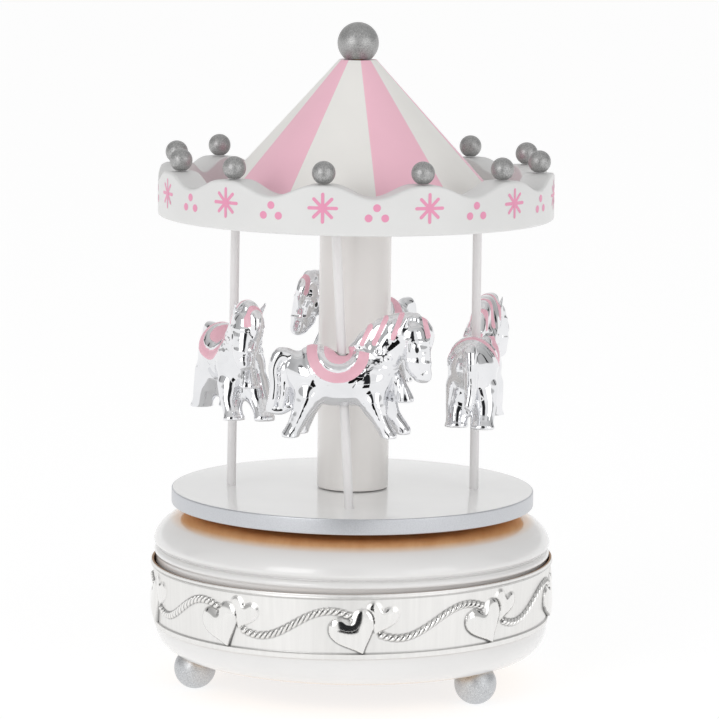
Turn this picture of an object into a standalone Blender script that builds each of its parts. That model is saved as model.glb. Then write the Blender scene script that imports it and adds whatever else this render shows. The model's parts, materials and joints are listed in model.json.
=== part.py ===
"""Wind-up carousel music box: a turned wooden base on three ball feet holds an 18-note comb movement,
and the movement's winding arbor carries a platform, a column, four horses on poles and a round canopy.

Every size is in millimetres and is scaled to metres when its solid is made. +Z is up, the feet stand on
z = 0, the carousel turns about the Z axis, and azimuth 0 is the front, at -Y, growing towards +X.
"""

import math

import bmesh
import bpy
from mathutils import Matrix, Vector

MM = 0.001
GAP = 0.3  # clearance between two pieces that touch on the real object

# feet and base
FOOT_RADIUS = 6.2
FOOT_HEIGHT = 6.05  # centre of the ball, so that its underside is a small flat
FOOT_CIRCLE = 48.7
FOOT_AZIMUTHS = {"foot_left": -71.0, "foot_right": 49.0, "foot_back": 169.0}
BASE_BOTTOM = 9.3
BASE_TOP = 51.0
BASE_RADIUS = 59.3
BASE_WALL_RADIUS = 57.5  # behind the decorative band
CAVITY_RADIUS = 38.0
CAVITY_TOP = 44.0
REBATE_RADIUS = 42.0
COVER_TOP = 11.2
COVER_SCREW_CIRCLE = 40.2
BAND_BOTTOM = 18.4
BAND_TOP = 37.6
BAND_TOP_RADIUS = 60.0
BAND_BOTTOM_RADIUS = 59.1
BAND_THICKNESS = 0.6

# platform and column
PLATFORM_RADIUS = 54.05
PLATFORM_BOTTOM = 53.6
PLATFORM_TOP = 58.3
COLUMN_RADIUS = 10.65
SPIGOT_RADIUS = 6.0
SPIGOT_TOP = 148.5
HUB_BOTTOM = 52.4
HUB_SCREW_OFFSET = 7.4

# canopy
CANOPY_BOTTOM = 139.8
CEILING_THICKNESS = 3.0
CROWN_RADIUS = 58.6
CROWN_INNER_RADIUS = 50.0
CROWN_CREST = 154.0
CROWN_TROUGH = 150.4
CROWN_SCALLOPS = 12
CROWN_BALL_RADIUS = 3.35
CROWN_BALL_CIRCLE = 54.4
CROWN_BALL_HEIGHT = 157.3
CROWN_AZIMUTH = -9.7  # of the first crest
CONE_APEX = 192.1
CONE_SLOPE = 0.908  # radius for each unit below the apex
CONE_TOP = 186.0
KNOB_RADIUS = 6.1
KNOB_HEIGHT = 190.9

# poles: the canopy sits a few degrees round from the platform, so the poles lean
POLE_RADIUS = 1.35
POLE_CIRCLE = 36.3
POLE_BOTTOM = 55.0
POLE_TOP = 142.0
POLE_BOTTOM_AZIMUTH = -1.4
CANOPY_TWIST = -7.6

# each horse: its pole's number, the heading of its nose from +X, and the height of its hooves
HORSES = {
    "horse_front": (0, 0.0, 79.8),
    "horse_right": (1, 82.0, 79.2),
    "horse_back": (2, 221.0, 84.3),
    "horse_left": (3, -68.0, 79.8),
}

# winding arbor and the gear train: carousel wheel, cylinder, governor wheel and fly
ARBOR_RADIUS = 1.7
ARBOR_BOTTOM = 23.9
ARBOR_TOP = 58.0
BED_BOTTOM = 41.6
BED_THICKNESS = 2.0
BED_SCREWS = ((-17.0, -12.0), (-17.0, 12.0), (32.0, 12.0))
CROWN_WHEEL_TEETH = 30
CYLINDER_PINION_TEETH = 10
CYLINDER_GEAR_TEETH = 32
GOVERNOR_PINION_TEETH = 8
WORM_WHEEL_TEETH = 20
WHEEL_PITCH_RADIUS = 12.75
WHEEL_OUTER_RADIUS = 14.0
WHEEL_UNDERSIDE = 37.4
WHEEL_TOOTH_HEIGHT = 1.3
CYLINDER_PINION_PITCH_RADIUS = WHEEL_PITCH_RADIUS * CYLINDER_PINION_TEETH / CROWN_WHEEL_TEETH
CYLINDER_AXIS_HEIGHT = WHEEL_UNDERSIDE - 0.75 - CYLINDER_PINION_PITCH_RADIUS
GOVERNOR_DISTANCE = 10.08  # between the cylinder's axis and the governor wheel's
TEETH_TOGETHER = CYLINDER_GEAR_TEETH + GOVERNOR_PINION_TEETH
GEAR_PITCH_RADIUS = GOVERNOR_DISTANCE * CYLINDER_GEAR_TEETH / TEETH_TOGETHER
GOVERNOR_PINION_PITCH_RADIUS = GOVERNOR_DISTANCE - GEAR_PITCH_RADIUS
WORM_WHEEL_PITCH_RADIUS = 2.7
WORM_PITCH = 2 * math.pi * WORM_WHEEL_PITCH_RADIUS / WORM_WHEEL_TEETH
WORM_DISTANCE = 3.8
WORM_X = 26.0
GOVERNOR_Y = -GOVERNOR_DISTANCE
WORM_Y = GOVERNOR_Y - WORM_DISTANCE
CYLINDER_START = 16.4
CYLINDER_END = 30.4
CYLINDER_RADIUS = 6.0
PIN_HEIGHT = 0.75
NOTES = 18
COMB_TOP = CYLINDER_AXIS_HEIGHT + 0.45
COMB_SCREW_X = (19.4, 27.4)
COMB_SCREW_Y = 18.2
GEAR_START = 31.2
GEAR_END = 32.6
HOUSING_RADIUS = 10.9
HOUSING_BOTTOM = 24.5
HOUSING_TOP = 36.8

# colour, roughness and metallic value of each material
FINISHES = {
    "white_lacquer": ((0.90, 0.89, 0.88), 0.10, 0.0),
    "white_satin": ((0.90, 0.90, 0.89), 0.35, 0.0),
    "pink_and_white_lacquer": ((0.90, 0.72, 0.78), 0.25, 0.0),
    "silver_paint": ((0.42, 0.43, 0.44), 0.45, 0.6),
    "silver_plate": ((0.88, 0.88, 0.89), 0.15, 1.0),
    "chrome": ((0.92, 0.92, 0.93), 0.05, 1.0),
    "brass": ((0.80, 0.62, 0.30), 0.30, 1.0),
    "steel": ((0.60, 0.61, 0.63), 0.30, 1.0),
    "cast_zinc": ((0.55, 0.56, 0.58), 0.50, 0.9),
    "fibreboard": ((0.42, 0.28, 0.17), 0.80, 0.0),
    "bare_wood": ((0.72, 0.52, 0.32), 0.70, 0.0),
    "white_plastic": ((0.85, 0.83, 0.82), 0.25, 0.0),
}


def clear_scene():
    for item in list(bpy.data.objects):
        bpy.data.objects.remove(item)


def make_material(name):
    colour, roughness, metallic = FINISHES[name]
    material = bpy.data.materials.new(name)
    material.use_nodes = True
    shader = material.node_tree.nodes["Principled BSDF"]
    shader.inputs["Base Color"].default_value = (*colour, 1)
    shader.inputs["Roughness"].default_value = roughness
    shader.inputs["Metallic"].default_value = metallic
    material.diffuse_color = (*colour, 1)
    return material


def add_axis(name, location):
    """An empty on a joint's axis, which carries the pieces that turn with it."""
    axis = bpy.data.objects.new(name, None)
    axis.location = Vector(location) * MM
    bpy.context.collection.objects.link(axis)
    return axis


def add_piece(name, mesh, finish, parent=None, location=(0, 0, 0), rotation=(0, 0, 0)):
    """Link a mesh, scaled from millimetres, as one named piece."""
    if isinstance(mesh, bmesh.types.BMesh):
        data = bpy.data.meshes.new(name)
        bmesh.ops.recalc_face_normals(mesh, faces=mesh.faces)
        bmesh.ops.scale(mesh, vec=(MM, MM, MM), verts=mesh.verts)
        mesh.to_mesh(data)
        mesh.free()
        data.shade_smooth()
        data.set_sharp_from_angle(angle=math.radians(32))
    else:
        data = mesh
    piece = bpy.data.objects.new(name, data)
    if finish:
        data.materials.clear()
        data.materials.append(MATERIALS[finish])
    piece.location = Vector(location) * MM
    piece.rotation_euler = rotation
    piece.parent = parent
    bpy.context.collection.objects.link(piece)
    return piece


def combine(piece, mesh, operation, parent=None, location=(0, 0, 0), rotation=(0, 0, 0)):
    """Cut a tool from the piece, or weld it on, with an exact Boolean."""
    tool = add_piece(piece.name + "_tool", mesh, None, parent, location, rotation)
    tool.hide_render = True
    tool.display_type = "WIRE"
    modifier = piece.modifiers.new(operation.lower(), "BOOLEAN")
    modifier.operation = operation
    modifier.solver = "EXACT"
    modifier.object = tool
    return tool


def polar(radius, azimuth, height):
    angle = math.radians(azimuth)
    return Vector((radius * math.sin(angle), -radius * math.cos(angle), height))


def arc(centre, radii, start, end, steps):
    """Points (r, z) on an elliptical arc, from angle start to end in degrees."""
    points = []
    for step in range(steps + 1):
        angle = math.radians(start + (end - start) * step / steps)
        points.append((centre[0] + radii[0] * math.cos(angle), centre[1] + radii[1] * math.sin(angle)))
    return points


def turned(outline, segments):
    """A solid turned about Z from a closed outline of (r, z) points."""
    shape = bmesh.new()
    rings = []
    for radius, height in outline:
        if radius < 1e-6:
            rings.append([shape.verts.new((0, 0, height))])
            continue
        ring = []
        for step in range(segments):
            angle = 2 * math.pi * step / segments
            ring.append(shape.verts.new((radius * math.cos(angle), radius * math.sin(angle), height)))
        rings.append(ring)
    for ring, following in zip(rings, rings[1:] + rings[:1]):
        for step in range(segments):
            after = (step + 1) % segments
            corners = [ring[step % len(ring)], ring[after % len(ring)]]
            corners += [following[after % len(following)], following[step % len(following)]]
            corners = list(dict.fromkeys(corners))
            if len(corners) > 2:
                shape.faces.new(corners)
    return shape


def rod(radius, bottom, top, segments=16, bore=0.0):
    if bore:
        return turned([(bore, bottom), (radius, bottom), (radius, top), (bore, top)], segments)
    return turned([(0, bottom), (radius, bottom), (radius, top), (0, top)], segments)


def ball(radius, height, bottom, segments, rows):
    """A ball about a centre at the given height, with a flat at its bottom."""
    start = math.degrees(math.asin((bottom - height) / radius))
    points = arc((0, height), (radius, radius), start, 90, rows)
    return turned([(0, bottom)] + points[:-1] + [(0, height + radius)], segments)


def block(low, high):
    shape = bmesh.new()
    bmesh.ops.create_cube(shape, size=1)
    size = [b - a for a, b in zip(low, high)]
    bmesh.ops.scale(shape, vec=size, verts=shape.verts)
    middle = [(a + b) / 2 for a, b in zip(low, high)]
    bmesh.ops.translate(shape, vec=middle, verts=shape.verts)
    return shape


def merged(*shapes):
    """One mesh that holds all the given shapes."""
    data = bpy.data.meshes.new("merged")
    whole = bmesh.new()
    for shape in shapes:
        shape.to_mesh(data)
        shape.free()
        whole.from_mesh(data)
    bpy.data.meshes.remove(data)
    return whole


def moved(shape, offset, turn=None):
    if turn:
        bmesh.ops.rotate(shape, matrix=turn, verts=shape.verts)
    bmesh.ops.translate(shape, vec=offset, verts=shape.verts)
    return shape


ALONG_X = Matrix.Rotation(math.radians(90), 3, "Y")  # turns a solid's Z axis onto +X


def screw(head_radius, head_height, shank_radius, length):
    """A screw that points up: its head hangs below z = 0."""
    outline = [(0, -head_height), (head_radius * 0.7, -head_height), (head_radius, -head_height * 0.4)]
    outline += [(head_radius, 0), (shank_radius, 0), (shank_radius, length - 1), (0, length)]
    return turned(outline, 8)


def prism(loop, hole, start, end):
    """A flat plate along X with an outer loop and a round hole, both as (y, z) points."""
    shape = bmesh.new()
    sides = []
    for points in (loop, hole):
        ends = []
        for x in (start, end):
            ends.append([shape.verts.new((x, y, z)) for y, z in points])
        sides.append(ends)
        count = len(points)
        for step in range(count):
            after = (step + 1) % count
            shape.faces.new((ends[0][step], ends[0][after], ends[1][after], ends[1][step]))
    for side in (0, 1):
        edges = []
        for ends in sides:
            ring = ends[side]
            for step, vertex in enumerate(ring):
                edges.append(shape.edges.get((vertex, ring[(step + 1) % len(ring)])))
        bmesh.ops.triangle_fill(shape, edges=edges, use_beauty=True)
    return shape


def toothed_loop(teeth, root, tip, root_share, tip_share, first_tooth):
    """The (y, z) outline of a gear whose first tooth points at an angle in degrees from +Y."""
    points = []
    pitch = 2 * math.pi / teeth
    for tooth in range(teeth):
        middle = math.radians(first_tooth) + tooth * pitch
        corners = ((root, -root_share), (tip, -tip_share), (tip, tip_share), (root, root_share))
        for radius, share in corners:
            angle = middle + share * pitch / 2
            points.append((radius * math.cos(angle), radius * math.sin(angle)))
    return points


def round_loop(radius, segments=12):
    angles = [2 * math.pi * step / segments for step in range(segments)]
    return [(radius * math.cos(angle), radius * math.sin(angle)) for angle in angles]


def build_base():
    """The turned base, its cover, the band around it and the ball feet."""
    roll = arc((46.0, 41.6), (BASE_RADIUS - 46.0, BASE_TOP - 41.6), 90, 0, 5)
    bead = arc((57.4, 39.6), (1.6, 1.5), 75, -75, 3)
    shoulder = arc((50.2, 17.6), (8.7, 17.6 - BASE_BOTTOM), 0, -90, 4)
    outline = [(4.2, BASE_TOP)] + roll + [(57.9, 41.2)] + bead
    outline += [(BASE_WALL_RADIUS, 37.8), (BASE_WALL_RADIUS, BAND_BOTTOM - GAP)]
    outline += [(58.9, BAND_BOTTOM - GAP)]
    outline += shoulder + [(REBATE_RADIUS, BASE_BOTTOM), (REBATE_RADIUS, COVER_TOP + GAP)]
    outline += [(CAVITY_RADIUS, COVER_TOP + GAP), (CAVITY_RADIUS, CAVITY_TOP), (4.2, CAVITY_TOP)]
    base = add_piece("base_shell", turned(outline, 48), "white_lacquer")
    cover = add_piece("bottom_cover", rod(REBATE_RADIUS - GAP, BASE_BOTTOM, COVER_TOP, 32), "fibreboard")
    pockets = []
    for azimuth in FOOT_AZIMUTHS.values():
        pocket = ball(FOOT_RADIUS + GAP, FOOT_HEIGHT, FOOT_HEIGHT - FOOT_RADIUS, 12, 6)
        pockets.append(moved(pocket, polar(FOOT_CIRCLE, azimuth, 0)))
    holes = []
    for number in range(3):
        place = polar(COVER_SCREW_CIRCLE, 109.0 + 120 * number, 0)
        pockets.append(moved(rod(0.8 + GAP, BASE_BOTTOM, 18.0, 8), place))
        holes.append(moved(rod(0.8 + GAP, BASE_BOTTOM - 1, COVER_TOP + 1, 8), place))
        add_piece(
            f"cover_screw_{number + 1}",
            screw(1.7, 0.9, 0.8, 8.0),
            "steel",
            location=place + Vector((0, 0, BASE_BOTTOM - GAP)),
        )
    for x, y in BED_SCREWS:
        pockets.append(moved(rod(0.9 + GAP, CAVITY_TOP - 1, 49.8, 8), (x, y, 0)))
    combine(base, merged(*pockets), "DIFFERENCE")
    combine(cover, merged(*holes), "DIFFERENCE")
    inner_top = BAND_TOP_RADIUS - BAND_THICKNESS
    inner_bottom = BAND_BOTTOM_RADIUS - BAND_THICKNESS
    band = [(inner_bottom, BAND_BOTTOM), (BAND_BOTTOM_RADIUS, BAND_BOTTOM)]
    band += [(BAND_TOP_RADIUS, BAND_TOP), (inner_top, BAND_TOP)]
    add_piece("decorative_band", turned(band, 64), "silver_plate")
    for name, azimuth in FOOT_AZIMUTHS.items():
        foot = ball(FOOT_RADIUS, FOOT_HEIGHT, 0, 14, 7)
        add_piece(name, foot, "silver_paint", location=polar(FOOT_CIRCLE, azimuth, 0))


def pole_ends(number):
    azimuth = POLE_BOTTOM_AZIMUTH + 90 * number
    bottom = polar(POLE_CIRCLE, azimuth, PLATFORM_TOP)
    top = polar(POLE_CIRCLE, azimuth + CANOPY_TWIST, CANOPY_BOTTOM)
    return bottom, top


def pole_turn(number):
    """The rotation that stands a solid's Z axis along a pole."""
    bottom, top = pole_ends(number)
    return Vector((0, 0, 1)).rotation_difference(top - bottom).to_matrix()


def pole_rod(number, radius, bottom, top):
    foot, head = pole_ends(number)
    lean = (head - foot).normalized()
    start = (bottom - PLATFORM_TOP) / lean.z
    end = (top - PLATFORM_TOP) / lean.z
    return moved(rod(radius, start, end, 12), foot, pole_turn(number))


def crown_top(angle):
    """Height of the crown's scalloped edge at an angle in degrees from a crest."""
    span = 180 / CROWN_SCALLOPS
    away = abs((angle + span) % (2 * span) - span) / span
    flat = 0.14
    fall = max(0.0, (away - flat) / (1 - flat))
    return CROWN_CREST - (CROWN_CREST - CROWN_TROUGH) * (0.5 - 0.5 * math.cos(math.pi * fall))


def scalloped_ring():
    """The crown: a thick ring with a flat underside and a wavy top."""
    segments = 6 * CROWN_SCALLOPS
    ease = 0.8
    shape = bmesh.new()
    rings = []
    for step in range(segments):
        away = 360 * step / segments
        top = crown_top(away)
        profile = [(CROWN_INNER_RADIUS, CANOPY_BOTTOM), (CROWN_RADIUS - ease, CANOPY_BOTTOM)]
        profile += [(CROWN_RADIUS, CANOPY_BOTTOM + ease), (CROWN_RADIUS, top - ease)]
        profile += [(CROWN_RADIUS - ease, top), (CROWN_INNER_RADIUS, top)]
        azimuth = CROWN_AZIMUTH + away
        rings.append([shape.verts.new(polar(radius, azimuth, height)) for radius, height in profile])
    for ring, following in zip(rings, rings[1:] + rings[:1]):
        for point in range(len(ring)):
            after = (point + 1) % len(ring)
            shape.faces.new((ring[point], ring[after], following[after], following[point]))
    return shape


def build_canopy(axis):
    """The ceiling, the crown ring, the roof cone, the knob and the crown's balls."""
    ceiling_top = CANOPY_BOTTOM + CEILING_THICKNESS
    spigot_hole = SPIGOT_RADIUS + GAP
    plate = rod(CROWN_INNER_RADIUS - GAP, CANOPY_BOTTOM, ceiling_top, 40, spigot_hole)
    ceiling = add_piece("canopy_ceiling", plate, "white_lacquer", axis)
    hole_radius = POLE_RADIUS + GAP
    holes = [pole_rod(number, hole_radius, CANOPY_BOTTOM - 2, POLE_TOP + GAP) for number in range(4)]
    combine(ceiling, merged(*holes), "DIFFERENCE", axis)
    add_piece("crown_ring", scalloped_ring(), "white_satin", axis)
    cone_bottom = ceiling_top + GAP
    cone_edge = cone_bottom + 0.4
    cone_radius = (CONE_APEX - cone_edge) * CONE_SLOPE
    tip_radius = (CONE_APEX - CONE_TOP) * CONE_SLOPE
    peg_hole = 1.5 + GAP
    outline = [(spigot_hole, cone_bottom), (cone_radius, cone_bottom), (cone_radius, cone_edge)]
    outline += [(tip_radius, CONE_TOP), (peg_hole, CONE_TOP), (peg_hole, 177.7), (0, 177.7)]
    outline += [(0, SPIGOT_TOP + GAP), (spigot_hole, SPIGOT_TOP + GAP)]
    add_piece("roof_cone", turned(outline, 40), "pink_and_white_lacquer", axis)
    knob_bottom = CONE_TOP + GAP
    knob = arc((0, KNOB_HEIGHT), (KNOB_RADIUS, KNOB_RADIUS), -49, 90, 6)
    knob = [(peg_hole, 191.3), (peg_hole, knob_bottom)] + [(4.0, knob_bottom)] + knob[:-1]
    knob += [(0, KNOB_HEIGHT + KNOB_RADIUS), (0, 191.3)]
    add_piece("top_knob", turned(knob, 14), "silver_paint", axis)
    add_piece("knob_dowel", rod(1.5, 178.0, 191.0, 10), "bare_wood", axis)
    for number in range(CROWN_SCALLOPS):
        bead = ball(CROWN_BALL_RADIUS, CROWN_BALL_HEIGHT, CROWN_CREST + GAP, 10, 5)
        place = polar(CROWN_BALL_CIRCLE, CROWN_AZIMUTH + 360 * number / CROWN_SCALLOPS, 0)
        add_piece(f"crown_ball_{number + 1:02d}", bead, "silver_paint", axis, place)


def build_platform(axis):
    """The turning platform with its column, poles and the hub that screws onto the arbor."""
    ease = 0.5
    hole = SPIGOT_RADIUS + GAP
    outline = [(hole, PLATFORM_BOTTOM), (PLATFORM_RADIUS - ease, PLATFORM_BOTTOM)]
    outline += [(PLATFORM_RADIUS, PLATFORM_BOTTOM + ease), (PLATFORM_RADIUS, PLATFORM_TOP - ease)]
    outline += [(PLATFORM_RADIUS - ease, PLATFORM_TOP), (hole, PLATFORM_TOP)]
    platform = add_piece("platform", turned(outline, 48), "white_lacquer", axis)
    holes = [pole_rod(number, POLE_RADIUS + 0.35, POLE_BOTTOM - GAP, 60) for number in range(4)]
    for side in (-1, 1):
        place = (side * HUB_SCREW_OFFSET, 0, 0)
        holes.append(moved(rod(0.7 + GAP, 52, 57.2, 8), place))
        tip = screw(1.25, 0.6, 0.7, 4.6)
        add_piece(f"hub_screw_{(side + 3) // 2}", tip, "steel", axis, (place[0], 0, HUB_BOTTOM - 0.2))
    combine(platform, merged(*holes), "DIFFERENCE", axis)
    spigot_bottom = PLATFORM_BOTTOM + GAP
    bore = ARBOR_RADIUS + GAP
    column_bottom = PLATFORM_TOP + GAP
    outline = [(bore, spigot_bottom), (SPIGOT_RADIUS, spigot_bottom), (SPIGOT_RADIUS, column_bottom)]
    outline += [(COLUMN_RADIUS, column_bottom), (COLUMN_RADIUS, CANOPY_BOTTOM - GAP)]
    outline += [(SPIGOT_RADIUS, CANOPY_BOTTOM - GAP), (SPIGOT_RADIUS, SPIGOT_TOP), (0, SPIGOT_TOP)]
    outline += [(0, ARBOR_TOP + 1), (bore, ARBOR_TOP + 1)]
    add_piece("column", turned(outline, 24), "white_lacquer", axis)
    outline = [(bore, 45.5), (3.2, 45.5), (3.2, HUB_BOTTOM), (9.4, HUB_BOTTOM)]
    outline += [(9.4, PLATFORM_BOTTOM - GAP), (bore, PLATFORM_BOTTOM - GAP)]
    hub = add_piece("platform_hub", turned(outline, 16), "brass", axis)
    holes = [moved(rod(0.7 + GAP, 50, 55, 8), (side * HUB_SCREW_OFFSET, 0, 0)) for side in (-1, 1)]
    combine(hub, merged(*holes), "DIFFERENCE", axis)
    for number, side in enumerate(("front", "right", "back", "left")):
        pole = pole_rod(number, POLE_RADIUS, POLE_BOTTOM, POLE_TOP)
        add_piece(f"pole_{side}", pole, "white_plastic", axis)


def limb(shape, points, width=1.0):
    """Add overlapping balls along a path of (u, v, w, radius) points to a horse."""
    for (u, v, w, radius), following in zip(points, points[1:]):
        start, end = Vector((u, v, w)), Vector(following[:3])
        count = max(1, math.ceil((end - start).length / (0.45 * min(radius, following[3]))))
        for step in range(count + 1):
            share = step / count
            size = radius + (following[3] - radius) * share
            stretch = Matrix.Diagonal((size, size * width, size, 1))
            place = Matrix.Translation(start.lerp(end, share)) @ stretch
            bmesh.ops.create_icosphere(shape, subdivisions=2, radius=1, matrix=place)


def horse_mesh():
    """A galloping pony in its own frame: u forwards, v to its left, w up from its hooves."""
    shape = bmesh.new()
    limb(shape, [(-9.8, 0, 17.2, 6.9), (-2, 0, 16.8, 6.9), (7.2, 0, 17.2, 7.2)], 0.92)
    limb(shape, [(8, 0, 20, 6.0), (13, -0.3, 26.5, 5.2), (17.5, -0.8, 31.0, 4.9)], 0.85)
    limb(shape, [(19, -1, 31.3, 4.9), (22, -1.8, 25.5, 3.9), (24.2, -2.2, 19.8, 2.9)], 0.9)
    limb(shape, [(4, 0, 25.5, 2.2), (12, 0, 33, 2.4), (20, -0.8, 35.2, 2.2), (26.4, -1.6, 31.5, 1.8)])
    tail = [(-14.0, 0, 23.3, 2.2), (-17.6, 0, 23.8, 2.5), (-18.2, 0, 19, 2.6)]
    tail += [(-17.4, 0, 13.5, 2.9), (-18.0, 0, 9.6, 2.6), (-20.6, 0, 7.6, 0.9)]
    limb(shape, tail)
    for side in (-1, 1):
        v = 3.5 * side
        limb(shape, [(-9, v, 16, 4.2), (-9.6, v, 10, 2.9), (-12.6, v, 5.8, 2.2), (-13.8, v, 2.2, 2.2)])
        if side < 0:
            limb(shape, [(8.6, v, 15, 4.2), (11.4, v, 7.4, 2.4), (13.6, v, 2.2, 2.2)])
        else:
            limb(shape, [(9.2, v, 15, 4.2), (14.4, v, 9, 2.3), (18.0, v, 5.2, 2.2)])
    template = add_piece("horse_template", shape, None)
    remesh = template.modifiers.new("remesh", "REMESH")
    remesh.mode = "VOXEL"
    remesh.voxel_size = 0.8 * MM
    decimate = template.modifiers.new("decimate", "DECIMATE")
    decimate.ratio = 0.033
    hole = combine(template, rod(POLE_RADIUS + GAP, 0, 40, 12), "DIFFERENCE")
    bpy.context.view_layer.update()
    evaluated = template.evaluated_get(bpy.context.evaluated_depsgraph_get())
    mesh = bpy.data.meshes.new_from_object(evaluated)
    mesh.name = "horse"
    for item in (template, hole):
        bpy.data.objects.remove(item)
    return mesh


def build_horses(axis):
    mesh = horse_mesh()
    for name, (number, heading, height) in HORSES.items():
        bottom, top = pole_ends(number)
        place = bottom.lerp(top, (height - bottom.z) / (top.z - bottom.z))
        turn = pole_turn(number) @ Matrix.Rotation(math.radians(heading), 3, "Z")
        add_piece(name, mesh, "chrome", axis, place, turn.to_euler())


def crown_wheel():
    """A flat wheel whose teeth point down from its rim."""
    half_tooth = 0.2 * 360 / CROWN_WHEEL_TEETH
    bore = ARBOR_RADIUS + GAP
    inner = WHEEL_PITCH_RADIUS - 1.25
    top = WHEEL_UNDERSIDE + 1.6
    tips = WHEEL_UNDERSIDE - WHEEL_TOOTH_HEIGHT
    shape = bmesh.new()
    columns = []
    for tooth in range(CROWN_WHEEL_TEETH):
        for side in (-1, 1):
            azimuth = 90 + (tooth + 0.5) * 360 / CROWN_WHEEL_TEETH + side * half_tooth
            column = {}
            places = {"bore_top": (bore, top), "rim_top": (WHEEL_OUTER_RADIUS, top)}
            places |= {"bore_low": (bore, WHEEL_UNDERSIDE), "inner": (inner, WHEEL_UNDERSIDE)}
            places |= {"outer": (WHEEL_OUTER_RADIUS, WHEEL_UNDERSIDE)}
            places |= {"inner_tip": (inner, tips), "outer_tip": (WHEEL_OUTER_RADIUS, tips)}
            for key, (radius, height) in places.items():
                column[key] = shape.verts.new(polar(radius, azimuth, height))
            columns.append(column)
    for step, (here, there) in enumerate(zip(columns, columns[1:] + columns[:1])):
        strips = [("bore_low", "bore_top"), ("bore_top", "rim_top")]
        strips += [("rim_top", "outer"), ("bore_low", "inner")]
        if step % 2 == 0:
            strips += [("inner", "inner_tip"), ("inner_tip", "outer_tip"), ("outer_tip", "outer")]
            for column in (here, there):
                corners = [column[key] for key in ("inner", "inner_tip", "outer_tip", "outer")]
                shape.faces.new(corners)
        else:
            strips.append(("inner", "outer"))
        for low, high in strips:
            shape.faces.new((here[low], there[low], there[high], here[high]))
    return shape


def build_winding(axis):
    """The winding arbor and the wheel that drives the music."""
    add_piece("winding_arbor", rod(ARBOR_RADIUS, ARBOR_BOTTOM, ARBOR_TOP, 12), "steel", axis)
    add_piece("main_wheel", crown_wheel(), "brass", axis)


def spiral_strip(inner, outer, turns, thickness, bottom, top):
    """A spring's flat strip wound as an even spiral about Z."""
    shape = bmesh.new()
    steps = int(turns * 16)
    sections = []
    for step in range(steps + 1):
        angle = 2 * math.pi * turns * step / steps
        radius = inner + (outer - inner) * step / steps
        section = []
        for distance, height in ((0, bottom), (thickness, bottom), (thickness, top), (0, top)):
            r = radius + distance
            section.append(shape.verts.new((r * math.cos(angle), r * math.sin(angle), height)))
        sections.append(section)
    for here, there in zip(sections, sections[1:]):
        for corner in range(4):
            after = (corner + 1) % 4
            shape.faces.new((here[corner], here[after], there[after], there[corner]))
    shape.faces.new(sections[0])
    shape.faces.new(sections[-1])
    return shape


def build_movement_frame():
    """The bedplate, the mainspring in its housing, the comb and the bearings."""
    bed_top = BED_BOTTOM + BED_THICKNESS
    bed = add_piece("bedplate", block((-21, -20.6, BED_BOTTOM), (35.6, 20.6, bed_top)), "cast_zinc")
    combine(bed, rod(CAVITY_RADIUS - 0.7, BED_BOTTOM - 1, bed_top + 1, 48), "INTERSECT")
    combine(bed, block((16.4, 16.0, COMB_TOP + GAP), (30.4, 20.3, BED_BOTTOM + 0.5)), "UNION")
    holes = [rod(ARBOR_RADIUS + 0.4, BED_BOTTOM - 1, bed_top + 1, 12)]
    for x, y in BED_SCREWS:
        holes.append(moved(rod(0.9 + GAP, BED_BOTTOM - 1, bed_top + 1, 8), (x, y, 0)))
    for x in COMB_SCREW_X:
        holes.append(moved(rod(0.7 + GAP, COMB_TOP - 1, 40.2, 8), (x, COMB_SCREW_Y, 0)))
    combine(bed, merged(*holes), "DIFFERENCE")
    for number, (x, y) in enumerate(BED_SCREWS):
        place = (x, y, BED_BOTTOM - GAP)
        add_piece(f"bedplate_screw_{number + 1}", screw(2.0, 1.2, 0.9, 8.0), "steel", location=place)
    wall = 1.2
    bore = ARBOR_RADIUS + GAP
    inside = HOUSING_RADIUS - wall
    cup = [(bore, HOUSING_BOTTOM), (HOUSING_RADIUS, HOUSING_BOTTOM), (HOUSING_RADIUS, HOUSING_TOP)]
    cup += [(inside, HOUSING_TOP), (inside, HOUSING_BOTTOM + wall), (bore, HOUSING_BOTTOM + wall)]
    housing = add_piece("spring_housing", turned(cup, 20), "brass")
    legs = []
    for azimuth in (190, 270, 350):
        leg = block((-1.5, -17.8, HOUSING_BOTTOM), (1.5, -HOUSING_RADIUS + 0.6, HOUSING_BOTTOM + 2))
        legs.append(moved(leg, (0, 0, 0), Matrix.Rotation(math.radians(azimuth), 3, "Z")))
    combine(housing, merged(*legs), "UNION")
    posts = []
    for azimuth in (190, 270, 350):
        post = rod(1.3, HOUSING_BOTTOM + 0.5, BED_BOTTOM - GAP, 10)
        posts.append(moved(post, polar(16.2, azimuth, 0)))
    combine(housing, merged(*posts), "UNION")
    spring = spiral_strip(ARBOR_RADIUS + 0.5, inside - 0.6, 4, GAP, 26.2, 36.2)
    add_piece("mainspring", spring, "steel")
    build_comb()
    bore = round_loop(1.0 + GAP)
    low, high = -2.8, BED_BOTTOM - GAP - CYLINDER_AXIS_HEIGHT
    plate = [(-3.5, low), (3.5, low), (3.5, high), (-3.5, high)]
    for name, start in (("inner_bearing", 14.6), ("outer_bearing", 33.4)):
        bearing = prism(plate, bore, start, start + 1.2)
        add_piece(name, bearing, "brass", location=(0, 0, CYLINDER_AXIS_HEIGHT))
    build_governor_bracket()


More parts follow.
